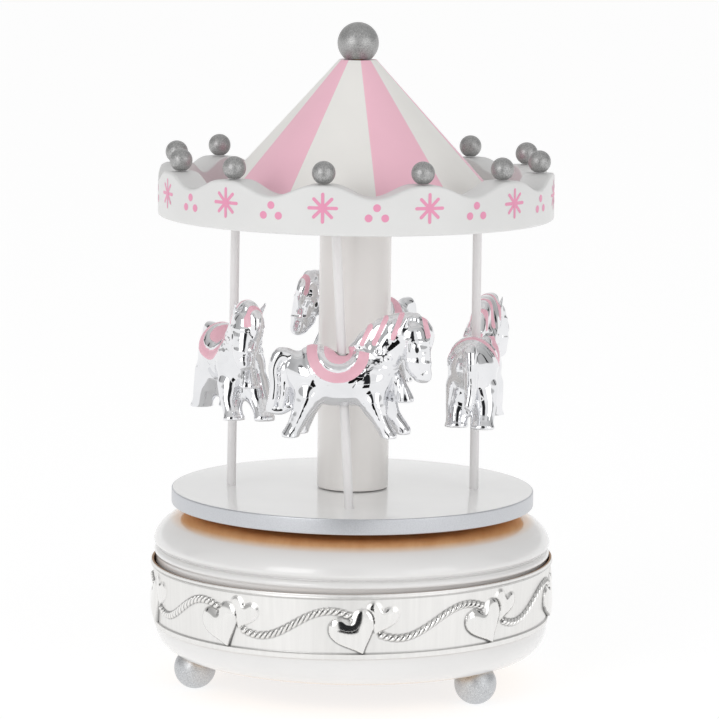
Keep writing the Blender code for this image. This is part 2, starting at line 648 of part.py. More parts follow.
def build_comb():
    """A steel comb with one tooth for each note, its tips just clear of the cylinder's pins."""
    tips = CYLINDER_RADIUS + PIN_HEIGHT + 0.35
    root, back = 15.2, 20.3
    pitch = (CYLINDER_END - CYLINDER_START) / NOTES
    half_slot = 0.14
    points = [(CYLINDER_START, back), (CYLINDER_START, tips)]
    for note in range(1, NOTES):
        x = CYLINDER_START + note * pitch
        left, right = x - half_slot, x + half_slot
        points += [(left, tips), (left, root), (right, root), (right, tips)]
    points += [(CYLINDER_END, tips), (CYLINDER_END, back)]
    shape = bmesh.new()
    outline = [shape.verts.new((x, y, COMB_TOP - 0.9)) for x, y in points]
    face = shape.faces.new(outline)
    raised = bmesh.ops.extrude_face_region(shape, geom=[face], use_keep_orig=True)
    top = [item for item in raised["geom"] if isinstance(item, bmesh.types.BMVert)]
    bmesh.ops.translate(shape, vec=(0, 0, 0.9), verts=top)
    comb = add_piece("comb", shape, "steel")
    holes = []
    for number, x in enumerate(COMB_SCREW_X):
        holes.append(moved(rod(0.7 + GAP, 25, 35, 8), (x, COMB_SCREW_Y, 0)))
        place = (x, COMB_SCREW_Y, COMB_TOP - 0.9 - GAP)
        add_piece(f"comb_screw_{number + 1}", screw(1.7, 1.0, 0.7, 7.5), "steel", location=place)
    combine(comb, merged(*holes), "DIFFERENCE")


def build_governor_bracket():
    """The bracket that holds the governor wheel and the upright worm of the fly."""
    back = block((21.4, WORM_Y - 5.7, 14.5), (30.2, WORM_Y - 4.7, BED_BOTTOM - GAP))
    bracket = add_piece("governor_bracket", back, "brass")
    arms = []
    for bottom in (14.5, 38.0):
        arms.append(block((24.4, WORM_Y - 5.0, bottom), (27.6, WORM_Y + 1.6, bottom + 1)))
    for start in (21.4, 29.0):
        low = (start, WORM_Y - 5.0, CYLINDER_AXIS_HEIGHT - 1.5)
        arms.append(block(low, (start + 1.0, GOVERNOR_Y + 1.5, CYLINDER_AXIS_HEIGHT + 1.5)))
    combine(bracket, merged(*arms), "UNION")
    holes = [moved(rod(0.5 + GAP, 13, 40, 8), (WORM_X, WORM_Y, 0))]
    across = moved(rod(0.7 + GAP, 20, 31.4, 8), (0, GOVERNOR_Y, CYLINDER_AXIS_HEIGHT), ALONG_X)
    holes.append(across)
    combine(bracket, merged(*holes), "DIFFERENCE")


def build_cylinder(axis):
    """The pinned cylinder on its arbor, with the pinion that drives it and its own gear."""
    shaft = moved(rod(1.0, 11.9, 34.9, 12), (0, 0, 0), ALONG_X)
    arbor = add_piece("cylinder_arbor", shaft, "steel", axis)
    root = CYLINDER_PINION_PITCH_RADIUS - 0.75
    tip = CYLINDER_PINION_PITCH_RADIUS + 0.45
    loop = toothed_loop(CYLINDER_PINION_TEETH, root, tip, 0.5, 0.26, 90)
    combine(arbor, prism(loop, round_loop(0.5), 11.6, 13.9), "UNION", axis)
    tube = rod(CYLINDER_RADIUS, CYLINDER_START, CYLINDER_END, 20, 1.0 + GAP)
    cylinder = add_piece("pin_cylinder", moved(tube, (0, 0, 0), ALONG_X), "brass", axis)
    pins = []
    pitch = (CYLINDER_END - CYLINDER_START) / NOTES
    golden_turn = 137.5
    for note in range(NOTES):
        pin = block((-0.16, -0.16, CYLINDER_RADIUS - 0.6), (0.16, 0.16, CYLINDER_RADIUS + PIN_HEIGHT))
        x = CYLINDER_START + (note + 0.5) * pitch
        turn = Matrix.Rotation(math.radians(golden_turn * note + 25), 3, "X")
        pins.append(moved(pin, (x, 0, 0), turn))
    combine(cylinder, merged(*pins), "UNION", axis)
    root, tip = GEAR_PITCH_RADIUS - 0.6, GEAR_PITCH_RADIUS + 0.35
    loop = toothed_loop(CYLINDER_GEAR_TEETH, root, tip, 0.5, 0.24, 180)
    gear = prism(loop, round_loop(1.0 + GAP), GEAR_START, GEAR_END)
    add_piece("cylinder_gear", gear, "brass", axis)


def build_governor_wheel(axis):
    """The arbor with the pinion that the cylinder's gear drives, and the worm wheel on it."""
    arbor = moved(rod(0.7, 21.1, 32.9, 10), (0, 0, 0), ALONG_X)
    arbor = add_piece("governor_arbor", arbor, "steel", axis)
    root, tip = GOVERNOR_PINION_PITCH_RADIUS - 0.6, GOVERNOR_PINION_PITCH_RADIUS + 0.3
    half_pitch = 180 / GOVERNOR_PINION_TEETH
    loop = toothed_loop(GOVERNOR_PINION_TEETH, root, tip, 0.5, 0.22, half_pitch)
    combine(arbor, prism(loop, round_loop(0.4, 8), GEAR_START - 0.1, GEAR_END + 0.1), "UNION", axis)
    radius = WORM_WHEEL_PITCH_RADIUS
    loop = toothed_loop(WORM_WHEEL_TEETH, radius - 0.5, radius + 0.12, 0.5, 0.2, 180)
    wheel = prism(loop, round_loop(0.7 + GAP, 10), WORM_X - 0.5, WORM_X + 0.5)
    add_piece("worm_wheel", wheel, "brass", axis)


def worm_shape():
    """An upright shaft with a right-handed single thread about the height of the worm wheel's axis."""
    rows_per_turn, turns, segments = 8, 4, 10
    root, height = 0.85, 0.5
    rows = [(0, -17.3, False), (0.5, -17.3, False), (0.5, -turns * WORM_PITCH / 2 - 0.1, False)]
    for row in range(rows_per_turn * turns + 1):
        rows.append((root, (row / rows_per_turn - turns / 2) * WORM_PITCH, True))
    rows += [(0.5, turns * WORM_PITCH / 2 + 0.1, False), (0.5, 7.0, False), (0, 7.0, False)]
    shape = bmesh.new()
    rings = []
    for base_radius, z, threaded in rows:
        ring = []
        if base_radius == 0:
            rings.append([shape.verts.new((0, 0, z))])
            continue
        for step in range(segments):
            turn = step / segments
            # the groove faces +Y at z = 0, where the wheel's tooth enters it
            phase = (z / WORM_PITCH - (turn - 0.25) + 0.5) % 1
            away = min(phase, 1 - phase)  # 0 on the thread's crest, 0.5 in its groove
            rise = min(1.0, max(0.0, 1.6 - away / 0.19)) if threaded else 0
            radius, angle = base_radius + height * rise, 2 * math.pi * turn
            ring.append(shape.verts.new((radius * math.cos(angle), radius * math.sin(angle), z)))
        rings.append(ring)
    for ring, following in zip(rings, rings[1:]):
        for step in range(segments):
            after = (step + 1) % segments
            corners = [ring[step % len(ring)], ring[after % len(ring)]]
            corners += [following[after % len(following)], following[step % len(following)]]
            corners = list(dict.fromkeys(corners))
            shape.faces.new(corners)
    return shape


def build_fly(axis):
    """The worm and the two vanes that brake it against the air."""
    add_piece("worm", worm_shape(), "steel", axis)
    vane = add_piece("air_brake", rod(1.4, -14.0, -8.0, 12, 0.5 + GAP), "steel", axis)
    right_blade = block((0.9, -0.25, -14.0), (4.2, 0.25, -8.0))
    left_blade = block((-4.2, -0.25, -14.0), (-0.9, 0.25, -8.0))
    combine(vane, merged(right_blade, left_blade), "UNION", axis)


clear_scene()
MATERIALS = {name: make_material(name) for name in FINISHES}
build_base()
build_movement_frame()
carousel = add_axis("carousel_axis", (0, 0, 0))
build_platform(carousel)
build_canopy(carousel)
build_horses(carousel)
build_winding(carousel)
build_cylinder(add_axis("cylinder_axis", (0, 0, CYLINDER_AXIS_HEIGHT)))
build_governor_wheel(add_axis("governor_axis", (0, GOVERNOR_Y, CYLINDER_AXIS_HEIGHT)))
build_fly(add_axis("fly_axis", (WORM_X, WORM_Y, CYLINDER_AXIS_HEIGHT)))
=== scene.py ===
"""Looks of the wind-up carousel music box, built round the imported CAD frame.

Sizes below are in millimetres and become metres when a mesh is made. Azimuth 0 is the front, at -Y,
and grows towards +X.
"""

import json
import math

import bmesh
import bpy
import numpy as np
from mathutils import Matrix, Vector


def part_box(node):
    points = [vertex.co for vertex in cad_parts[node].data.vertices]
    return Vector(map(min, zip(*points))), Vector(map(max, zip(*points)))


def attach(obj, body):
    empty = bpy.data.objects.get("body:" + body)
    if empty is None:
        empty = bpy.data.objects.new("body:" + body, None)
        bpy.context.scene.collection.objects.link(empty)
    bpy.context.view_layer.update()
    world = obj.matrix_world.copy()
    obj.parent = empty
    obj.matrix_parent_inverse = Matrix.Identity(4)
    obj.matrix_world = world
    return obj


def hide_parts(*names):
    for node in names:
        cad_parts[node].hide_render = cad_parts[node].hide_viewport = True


MM = 0.001

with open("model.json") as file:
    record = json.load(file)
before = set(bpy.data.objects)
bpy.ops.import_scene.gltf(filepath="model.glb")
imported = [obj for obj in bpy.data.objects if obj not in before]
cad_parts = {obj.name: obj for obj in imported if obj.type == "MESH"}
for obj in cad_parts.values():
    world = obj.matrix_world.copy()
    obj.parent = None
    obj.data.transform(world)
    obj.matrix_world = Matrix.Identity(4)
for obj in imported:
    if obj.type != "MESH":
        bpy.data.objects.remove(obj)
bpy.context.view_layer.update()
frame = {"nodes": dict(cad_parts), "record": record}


def cad_box(node):
    """A CAD node's lowest and highest corner in millimetres."""
    low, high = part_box(node)
    return np.array(low) / MM, np.array(high) / MM


# sizes read from the frame
BASE_BOTTOM = cad_box("base_shell")[0][2]
BASE_RADIUS, _, BASE_TOP = cad_box("base_shell")[1]
BAND_BOTTOM = cad_box("decorative_band")[0][2]
BAND_RADIUS, _, BAND_TOP = cad_box("decorative_band")[1]
PLATFORM_BOTTOM = cad_box("platform")[0][2]
PLATFORM_RADIUS, _, PLATFORM_TOP = cad_box("platform")[1]
COLUMN_RADIUS, _, COLUMN_TOP = cad_box("column")[1]
CANOPY_BOTTOM = cad_box("crown_ring")[0][2]
CROWN_RADIUS, _, CROWN_CREST = cad_box("crown_ring")[1]
KNOB_TOP = cad_box("top_knob")[1][2]
FOOT_TOP = cad_box("foot_left")[1][2]

# sizes the frame's boxes don't show
WALL_RADIUS = 57.5  # of the base behind the band
BAND_FLARE = 0.9  # how much wider the band is at its top edge
BAND_LEAN = 0.9  # how much higher the band sits at its right than in the middle
SPIGOT_RADIUS = 6.0  # of the column's reduced ends
CROWN_INNER = 50.0
CROWN_TROUGH = 150.4
CROWN_SCALLOPS = 12
CROWN_AZIMUTH = -9.7  # of the first crest
CROWN_BALL_CIRCLE = 54.4
CONE_APEX = 192.1
CONE_SLOPE = 0.908
CONE_TOP = 186.0
CONE_STRIPES = 10
CONE_AZIMUTH = 8.5  # where the front pink stripe starts
PINK_WIDTH = 34  # of a stripe, in degrees; the white ones are a little wider
MARKS_AZIMUTH = 0.55  # of the stars from their crests
POLE_RADIUS = 1.35
POLE_CIRCLE = 36.3
POLE_AZIMUTH = -1.4
CANOPY_TWIST = -7.6  # the canopy is turned on the platform by this, so the poles lean
SIDES = ("front", "right", "back", "left")
FOOT_CIRCLE = 48.7
FOOT_AZIMUTHS = {"foot_left": -71.0, "foot_right": 49.0, "foot_back": 169.0}
# light: the floor's glow, the brightness of the walls at azimuths round the room and of the ceiling, and the
# dark gaps between the screens, each as an azimuth and half a width in degrees
FLOOR_GLOW = 0.8
WALLS = ((-180, 0.9), (-125, 0.45), (-70, 0.48), (-28, 0.92),
         (28, 0.92), (70, 0.52), (125, 0.45), (180, 0.9))
CEILING = 0.62
DARK_GAPS = ((-110, 4), (-50, 3), (44, 3), (104, 4))
FRONT_GAP = (-4, 9)  # it reaches down to the floor, where the dark card carries it on
# each horse: the heading of its nose from +X and the height of its hooves
HORSES = {"front": (0.0, 79.8), "right": (82.0, 79.2), "back": (221.0, 84.3), "left": (-68.0, 79.8)}


# ---------------------------------------------------------------- geometry


def polar(radius, azimuth, height):
    angle = math.radians(azimuth)
    return Vector((radius * math.sin(angle), -radius * math.cos(angle), height))


def arc(centre, radii, start, end, steps):
    """Points of an elliptical arc in (radius, height)."""
    angles = np.radians(np.linspace(start, end, steps + 1))
    return [(centre[0] + radii[0] * math.cos(a), centre[1] + radii[1] * math.sin(a)) for a in angles]


def eased(corners, steps=5):
    """An outline through (x, y, ease) corners, each rounded over its ease."""
    outline = []
    for number, corner in enumerate(corners):
        point, ease = np.array(corner[:2], float), corner[2]
        if not ease:
            outline.append(tuple(point))
            continue
        before = np.array(corners[number - 1][:2], float) - point
        after = np.array(corners[(number + 1) % len(corners)][:2], float) - point
        start = point + before / np.linalg.norm(before) * ease
        end = point + after / np.linalg.norm(after) * ease
        for share in np.linspace(0, 1, steps + 1):
            blend = start * (1 - share) ** 2 + point * 2 * share * (1 - share) + end * share**2
            outline.append(tuple(blend))
    return outline


def rising(distance, soft):
    """0 outside an edge and 1 inside it, changing smoothly over the width given."""
    share = np.clip(0.5 - distance / soft, 0, 1)
    return share * share * (3 - 2 * share)


def finish_mesh(name, shape, materials, sharp=30):
    """A mesh from a bmesh in millimetres, with outward faces, smooth except at sharp edges."""
    bmesh.ops.recalc_face_normals(shape, faces=shape.faces)
    shape.transform(Matrix.Scale(MM, 4))
    mesh = bpy.data.meshes.new(name)
    shape.to_mesh(mesh)
    shape.free()
    for material in materials:
        mesh.materials.append(material)
    mesh.shade_smooth()
    mesh.set_sharp_from_angle(angle=math.radians(sharp))
    return mesh


def linked(name, data):
    """A new object that the scene holds."""
    piece = bpy.data.objects.new(name, data)
    bpy.context.scene.collection.objects.link(piece)
    return piece


def keep(mesh, name, values):
    """Keeps a number for each point of a mesh, under a name that a material reads."""
    attribute = mesh.attributes.new(name, "FLOAT", "POINT")
    attribute.data.foreach_set("value", values.ravel().astype(np.float32))


def place(name, mesh, body, replaces=(), location=None, rotation=None):
    """Adds a mesh as a piece of the object; the location is in millimetres."""
    piece = linked(name, mesh)
    turn = rotation.to_4x4() if rotation is not None else Matrix.Identity(4)
    piece.matrix_world = Matrix.Translation(Vector(location or (0, 0, 0)) * MM) @ turn
    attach(piece, body)
    if replaces:
        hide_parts(*replaces)


def sweep(rings, paint=None):
    """A closed bmesh over rings of points, one ring a section; paint gives a face's material."""
    shape = bmesh.new()
    columns = [[shape.verts.new(point) for point in ring] for ring in rings]
    count = len(columns[0])
    for step in range(len(columns)):
        here, there = columns[step], columns[(step + 1) % len(columns)]
        for point in range(count):
            after = (point + 1) % count
            face = shape.faces.new((here[point], here[after], there[after], there[point]))
            if paint:
                face.material_index = paint(step, point)
    return shape


def turned(outline, segments, paint=None):
    """The solid made by turning a (radius, height) outline about the Z axis."""
    rings = []
    for step in range(segments):
        azimuth = 360 * step / segments
        rings.append([polar(max(radius, 0.0), azimuth, height) for radius, height in outline])
    shape = sweep(rings, paint=paint)
    bmesh.ops.remove_doubles(shape, verts=shape.verts, dist=1e-4)
    return shape


def pole_ends(number):
    """Where a pole leaves the platform and where it enters the canopy."""
    azimuth = POLE_AZIMUTH + 90 * number
    bottom = polar(POLE_CIRCLE, azimuth, PLATFORM_TOP)
    top = polar(POLE_CIRCLE, azimuth + CANOPY_TWIST, CANOPY_BOTTOM)
    return bottom, top


# ---------------------------------------------------------------- materials


class Tree:
    """Short ways to add and join the nodes of a material or a world."""

    def __init__(self, owner):
        owner.use_nodes = True
        self.tree = owner.node_tree

    def add(self, kind, inputs=None, **settings):
        node = self.tree.nodes.new(kind)
        for key, value in settings.items():
            setattr(node, key, value)
        for key, value in (inputs or {}).items():
            if isinstance(value, bpy.types.NodeSocket):
                self.tree.links.new(value, node.inputs[key])
            else:
                node.inputs[key].default_value = value
        return node

    def ramp(self, value, *stops):
        node = self.add("ShaderNodeValToRGB", {"Fac": value})
        elements = node.color_ramp.elements
        while len(elements) < len(stops):
            elements.new(0.5)
        for element, (position, colour) in zip(elements, stops):
            element.position = position
            element.color = (*colour, 1)
        return node.outputs["Color"]

    def mix(self, share, first, second):
        return self.add("ShaderNodeMix", {0: share, 6: first, 7: second}, data_type="RGBA").outputs[2]

    def between(self, value, low, high, start=0.0, end=1.0):
        """A value that runs from start to end, stretched to run from low to high."""
        ends = {"From Min": start, "From Max": end, "To Min": low, "To Max": high}
        return self.add("ShaderNodeMapRange", {"Value": value, **ends}).outputs[0]


class Nodes(Tree):
    """A new material and the nodes that its shader takes."""

    def __init__(self, name):
        self.material = bpy.data.materials.new(name)
        super().__init__(self.material)
        self.shader = self.tree.nodes["Principled BSDF"]

    def set(self, **values):
        for key, value in values.items():
            socket = self.shader.inputs[key.replace("_", " ")]
            if isinstance(value, bpy.types.NodeSocket):
                self.tree.links.new(value, socket)
            else:
                socket.default_value = value

    def place(self):
        return self.add("ShaderNodeTexCoord").outputs["Object"]

    def noise(self, scale, detail=3.0, roughness=0.5, stretch=None):
        vector = self.place()
        if stretch:
            vector = self.add("ShaderNodeMapping", {"Vector": vector, "Scale": stretch}).outputs[0]
        settings = {"Vector": vector, "Scale": scale, "Detail": detail, "Roughness": roughness}
        return self.add("ShaderNodeTexNoise", settings).outputs["Fac"]

    def kept(self, name):
        """A number that was kept for each point of the mesh."""
        return self.add("ShaderNodeAttribute", attribute_name=name).outputs["Fac"]

    def bump(self, value, height):
        node = self.add("ShaderNodeBump", {"Height": value, "Distance": height})
        self.tree.links.new(node.outputs[0], self.shader.inputs["Normal"])


def linear(colour):
    """An sRGB colour of 0 to 255 as the shader's linear values."""
    return tuple(round(((c / 255 + 0.055) / 1.055) ** 2.4, 4) for c in colour)


def tinted(colour, share):
    return tuple(min(1.0, c * share) for c in colour)


def lacquered(nodes, colour, roughness, coat, coat_roughness):
    """Gives a material the sheen and the faint unevenness of brushed-on lacquer."""
    nodes.set(Base_Color=colour, Coat_Weight=coat, Coat_Roughness=coat_roughness, Coat_IOR=1.5)
    nodes.set(Roughness=nodes.between(nodes.noise(300), roughness - 0.03, roughness + 0.03))
    nodes.bump(nodes.noise(220, 2), 0.00002)
    return nodes.material


def lacquer(name, colour, roughness, coat, coat_roughness=0.05):
    """Paint over wood, with faint clouds in its colour."""
    nodes = Nodes(name)
    base = linear(colour)
    stops = (0.3, tinted(base, 0.98)), (0.7, tinted(base, 1.02))
    return lacquered(nodes, nodes.ramp(nodes.noise(60, 4), *stops), roughness, coat, coat_roughness)


def drum_lacquer(name, colour, top_dark, top_light):
    """White lacquer that turns to a tan wood colour inward of the platform's edge, under the platform."""
    nodes = Nodes(name)
    white = nodes.ramp(nodes.noise(60, 4), (0.3, tinted(linear(colour), 0.98)), (0.7, linear(colour)))
    grain = nodes.noise(200, 6, 0.65, (1.0, 0.08, 1.0))
    tan_top = nodes.ramp(grain, (0.3, linear(top_dark)), (0.7, linear(top_light)))
    across = {0: nodes.place(), 1: (1, 1, 0)}
    flat = nodes.add("ShaderNodeVectorMath", across, operation="MULTIPLY").outputs[0]
    radius = nodes.add("ShaderNodeVectorMath", {0: flat}, operation="LENGTH").outputs["Value"]
    fade_start, fade_end = (PLATFORM_RADIUS - 2.0) * MM, (PLATFORM_RADIUS + 0.9) * MM
    painted = nodes.between(radius, 0.0, 1.0, fade_start, fade_end)
    return lacquered(nodes, nodes.mix(painted, tan_top, white), 0.3, 0.9, 0.03)


def silver_paint(name, dark, light, roughness=0.42):
    """Silver paint with a fine sparkle of metal flakes."""
    nodes = Nodes(name)
    flakes = nodes.noise(3600, 1, 0.6)
    nodes.set(Base_Color=nodes.ramp(flakes, (0.3, linear(dark)), (0.7, linear(light))))
    nodes.set(Roughness=nodes.between(flakes, roughness - 0.08, roughness + 0.08), Metallic=0.75)
    nodes.bump(flakes, 0.00004)
    return nodes.material


def metal(name, colour, roughness, scale, stretch=None, height=0.00001, variation=0.05):
    """Plain metal with a grain, drawn out along one way where it is stretched."""
    nodes = Nodes(name)
    base = linear(colour)
    grain = nodes.noise(scale, 4, 0.6, stretch)
    nodes.set(Base_Color=nodes.ramp(grain, (0.3, tinted(base, 1 - variation)), (0.7, base)))
    nodes.set(Roughness=nodes.between(grain, roughness * 0.8, roughness * 1.2), Metallic=1.0)
    nodes.bump(grain, height)
    return nodes.material


def embossed_silver(name, colour, hollow_shade_colour):
    """Silver plate: satin where it is flat, polished on the raised parts, with painted shade in the hollows.
    """
    nodes = Nodes(name)
    base = linear(colour)
    brushed = nodes.noise(700, 3, 0.6, (1.0, 1.0, 0.06))
    surface = nodes.ramp(brushed, (0.3, tinted(base, 0.94)), (0.7, base))
    # Painted shade: the hollows are mixed towards this dark colour by the shade kept on the band's mesh.
    dark = (*linear(hollow_shade_colour), 1)
    satin, polished = 0.4, 0.1
    nodes.set(Base_Color=nodes.mix(nodes.kept("recess_shade"), surface, dark), Metallic=1.0)
    nodes.set(Roughness=nodes.between(nodes.kept("raised"), satin, polished, 0.1, 0.5))
    nodes.bump(brushed, 0.000003)
    return nodes.material


def wood(name, dark, light, roughness=0.6):
    nodes = Nodes(name)
    grain = nodes.noise(260, 6, 0.65, (1.0, 0.08, 1.0))
    nodes.set(Base_Color=nodes.ramp(grain, (0.3, linear(dark)), (0.7, linear(light))))
    nodes.set(Roughness=nodes.between(grain, roughness, roughness + 0.15))
    nodes.bump(grain, 0.00008)
    return nodes.material


def chrome_horse(name):
    """Bright metal with pink paint, black eyes and brown glue, each edged by a distance kept on the mesh."""
    nodes = Nodes(name)
    clouds = nodes.noise(90, 3)
    silver = nodes.ramp(clouds, (0.3, linear((229, 230, 232))), (0.7, linear((240, 240, 242))))
    pink = nodes.ramp(clouds, (0.3, linear((232, 178, 192))), (0.7, linear((240, 190, 203))))
    soft = 0.04
    edges = [nodes.kept(name) for name in ("paint_edge", "eye_edge", "glue_edge")]
    masks = [nodes.between(edge, 0.0, 1.0, soft, -soft) for edge in edges]
    colour = silver
    black, brown = (0.006, 0.006, 0.007, 1), (0.12, 0.055, 0.03, 1)
    for mask, paint in zip(masks, (pink, black, brown)):
        colour = nodes.mix(mask, colour, paint)
    painted = masks[0]
    for mask in masks[1:]:
        painted = nodes.add("ShaderNodeMath", {0: painted, 1: mask}, operation="MAXIMUM").outputs[0]
    nodes.set(Base_Color=colour)
    nodes.set(Metallic=nodes.between(painted, 1.0, 0.0))
    nodes.set(Roughness=nodes.between(painted, 0.05, 0.32))
    nodes.bump(nodes.noise(500, 2), 0.000004)
    return nodes.material


WHITE_LACQUER = lacquer("white_lacquer", (247, 247, 246), 0.3, 0.9, 0.03)
DRUM_LACQUER = drum_lacquer("drum_lacquer", (234, 233, 232), (226, 184, 136), (244, 212, 168))
COLUMN_WHITE = lacquer("column_white_lacquer", (234, 231, 228), 0.3, 0.6, 0.08)
WHITE_SATIN = lacquer("white_satin", (228, 228, 227), 0.42, 0.15, 0.2)
ROOF_WHITE = lacquer("roof_white", (247, 245, 241), 0.42, 0.1, 0.25)
ROOF_PINK = lacquer("roof_pink", (253, 200, 216), 0.42, 0.1, 0.25)
PINK_PAINT = lacquer("pink_paint", (236, 154, 186), 0.4, 0.1, 0.2)
SILVER_PAINT = silver_paint("silver_paint", (144, 144, 144), (198, 198, 197))
# A lighter copy of the balls' silver paint for the feet, brightened as painted light.
FOOT_SILVER_LIT = silver_paint("foot_silver_lit", (176, 178, 181), (220, 222, 224))
EDGE_SILVER = silver_paint("platform_edge_silver", (196, 198, 202), (208, 210, 214), 0.34)
# Its second colour is painted shade for the band's hollows.
BAND_SILVER = embossed_silver("band_silver", (240, 239, 237), (52, 52, 54))
BAND_BACK = metal("band_back", (168, 132, 98), 0.45, 500)
POLE_PLASTIC = lacquer("white_plastic", (230, 228, 228), 0.35, 0.25, 0.15)
BARE_WOOD = wood("bare_wood", (208, 152, 92), (236, 188, 130))
FIBREBOARD = wood("fibreboard", (104, 74, 50), (140, 104, 72), 0.7)
ZINC = metal("cast_zinc", (176, 178, 182), 0.45, 300, None, 0.00003, 0.2)
BRASS = metal("brass", (222, 186, 112), 0.24, 500, (1, 1, 6))
STEEL = metal("steel", (190, 191, 194), 0.28, 500, (6, 1, 1))
HORSE_CHROME = chrome_horse("horse_chrome")

CAD_MATERIALS = {
    "white_lacquer": WHITE_LACQUER,
    "white_satin": WHITE_SATIN,
    "silver_paint": SILVER_PAINT,
    "silver_plate": BAND_SILVER,
    "white_plastic": POLE_PLASTIC,
    "bare_wood": BARE_WOOD,
    "fibreboard": FIBREBOARD,
    "cast_zinc": ZINC,
    "brass": BRASS,
    "steel": STEEL,
}
for row in frame["record"]["subparts"]:
    node = frame["nodes"].get(row["node"])
    material = CAD_MATERIALS.get(row["material_slot"])
    if node and material:
        node.data.materials.clear()
        node.data.materials.append(material)


# ---------------------------------------------------------------- base


def make_base():
    """The turned drum: a domed roll, a shallow groove, a bead, the wall behind the band and a shoulder."""
    roll = arc((46.0, 41.6), (BASE_RADIUS - 46.0, BASE_TOP - 41.6), 90, 8, 30)
    groove = [(59.1, 42.3), (58.7, 41.8), (58.0, 41.35), (57.6, 41.05), (57.7, 40.85), (58.1, 40.72)]
    bead = arc((57.5, 39.6), (1.55, 1.3), 55, -40, 12)
    shoulder = arc((50.2, 17.4), (8.4, 17.4 - BASE_BOTTOM), 0, -90, 24)
    wall = [(58.5, 38.2), (58.5, 35.4)]
    bare = [(WALL_RADIUS, 35.0), (WALL_RADIUS, 21.0)]
    arbor_hole = 4.2
    inside = [(42.0, BASE_BOTTOM), (42.0, 11.5), (38.0, 11.5), (38.0, 44.0), (arbor_hole, 44.0)]
    outline = [(arbor_hole, BASE_TOP)] + roll + groove + bead + wall
    painted = len(outline)
    outline += bare + [(58.4, 20.4)] + shoulder + inside
    shape = turned(outline, 256, lambda _, point: int(painted - 1 <= point < painted + 2))
    mesh = finish_mesh("base", shape, [DRUM_LACQUER, BARE_WOOD])
    place("drum", mesh, "base", ["base_shell"])


def ball_outline(radius, height, bottom, steps):
    """Half the outline of a ball whose middle is at a height, cut flat at its bottom."""
    start = math.degrees(math.asin((bottom - height) / radius))
    points = arc((0, height), (radius, radius), start, 90, steps)
    flat = points[0][0]
    return [(0, bottom), (flat - 0.15, bottom)] + points[:-1] + [(0, height + radius)]


def make_balls():
    """The feet, the knob and the twelve balls on the crown."""
    foot_middle = 6.05
    foot = ball_outline(FOOT_TOP - foot_middle, foot_middle, 0.0, 24)
    foot_mesh = finish_mesh("foot", turned(foot, 64), [FOOT_SILVER_LIT])
    for name, azimuth in FOOT_AZIMUTHS.items():
        turn = Matrix.Rotation(math.radians(azimuth), 3, "Z")
        spot = polar(FOOT_CIRCLE, azimuth, 0)
        place(name + "_ball", foot_mesh, "base", [name], spot, turn)
    knob_radius = 6.1
    knob = ball_outline(knob_radius, KNOB_TOP - knob_radius, CONE_TOP + 0.3, 28)
    knob_mesh = finish_mesh("knob", turned(knob, 72), [SILVER_PAINT])
    place("knob_ball", knob_mesh, "carousel", ["top_knob"])
    low, high = cad_box("crown_ball_01")
    radius = 3.35
    bead = ball_outline(radius, high[2] - radius, low[2], 18)
    bead_mesh = finish_mesh("crown_bead", turned(bead, 48), [SILVER_PAINT])
    for number in range(CROWN_SCALLOPS):
        azimuth = CROWN_AZIMUTH + 360 * number / CROWN_SCALLOPS
        name = f"crown_ball_{number + 1:02d}"
        turn = Matrix.Rotation(math.radians(azimuth), 3, "Z")
        spot = polar(CROWN_BALL_CIRCLE, azimuth, 0)
        place(name + "_bead", bead_mesh, "carousel", [name], spot, turn)


# ---------------------------------------------------------------- band


def heart_outline(centre, scale, tilt):
    """Points of a heart about its centre, tilted anticlockwise."""
    t = np.linspace(0, 2 * math.pi, 240, endpoint=False)
    across = 15 * np.sin(t) * np.abs(np.sin(t)) ** 1.3 * scale
    up = (13 * np.cos(t) - 4.3 * np.cos(2 * t) - 1.6 * np.cos(3 * t) - 0.9 * np.cos(4 * t)) * scale
    c, s = math.cos(math.radians(tilt)), math.sin(math.radians(tilt))
    return np.stack([across * c - up * s + centre[0], across * s + up * c + centre[1]], 1)


def outline_depth(x, z, outline):
    """How far inside a closed outline each point lies, negative outside."""
    points = np.stack([x.ravel(), z.ravel()], 1)
    nearest = np.full(len(points), 1e9)
    crossings = np.zeros(len(points), int)
    for start, end in zip(outline, np.roll(outline, -1, 0)):
        reach = end - start
        share = np.clip((points - start) @ reach / (reach @ reach), 0, 1)
        gap = points - start - share[:, None] * reach
        nearest = np.minimum(nearest, np.hypot(gap[:, 0], gap[:, 1]))
        spans = (start[1] > points[:, 1]) != (end[1] > points[:, 1])
        if reach[1]:
            side = start[0] + (points[:, 1] - start[1]) * reach[0] / reach[1]
            crossings += spans & (points[:, 0] < side)
    return np.where(crossings % 2 == 1, nearest, -nearest).reshape(x.shape)


def inflated(inside):
    """A soap film blown up over a region of a grid, from 0 at its edge to 1."""
    dome = np.zeros(inside.shape)
    for _ in range(1600):
        around = dome[:-2, 1:-1] + dome[2:, 1:-1] + dome[1:-1, :-2] + dome[1:-1, 2:]
        dome[1:-1, 1:-1] = around / 4 + 1
        dome *= inside
    return (dome / dome.max()) ** 0.48


def heart_relief(depth):
    """A pillowed heart in a narrow raised rim, by the depth inside its outline."""
    wall = rising(0.12 - depth, 0.24)
    rim = np.exp(-(((depth - 0.35) / 0.18) ** 2))
    return 0.28 * wall + 0.08 * rim * wall + 0.9 * inflated(depth > 0.6)


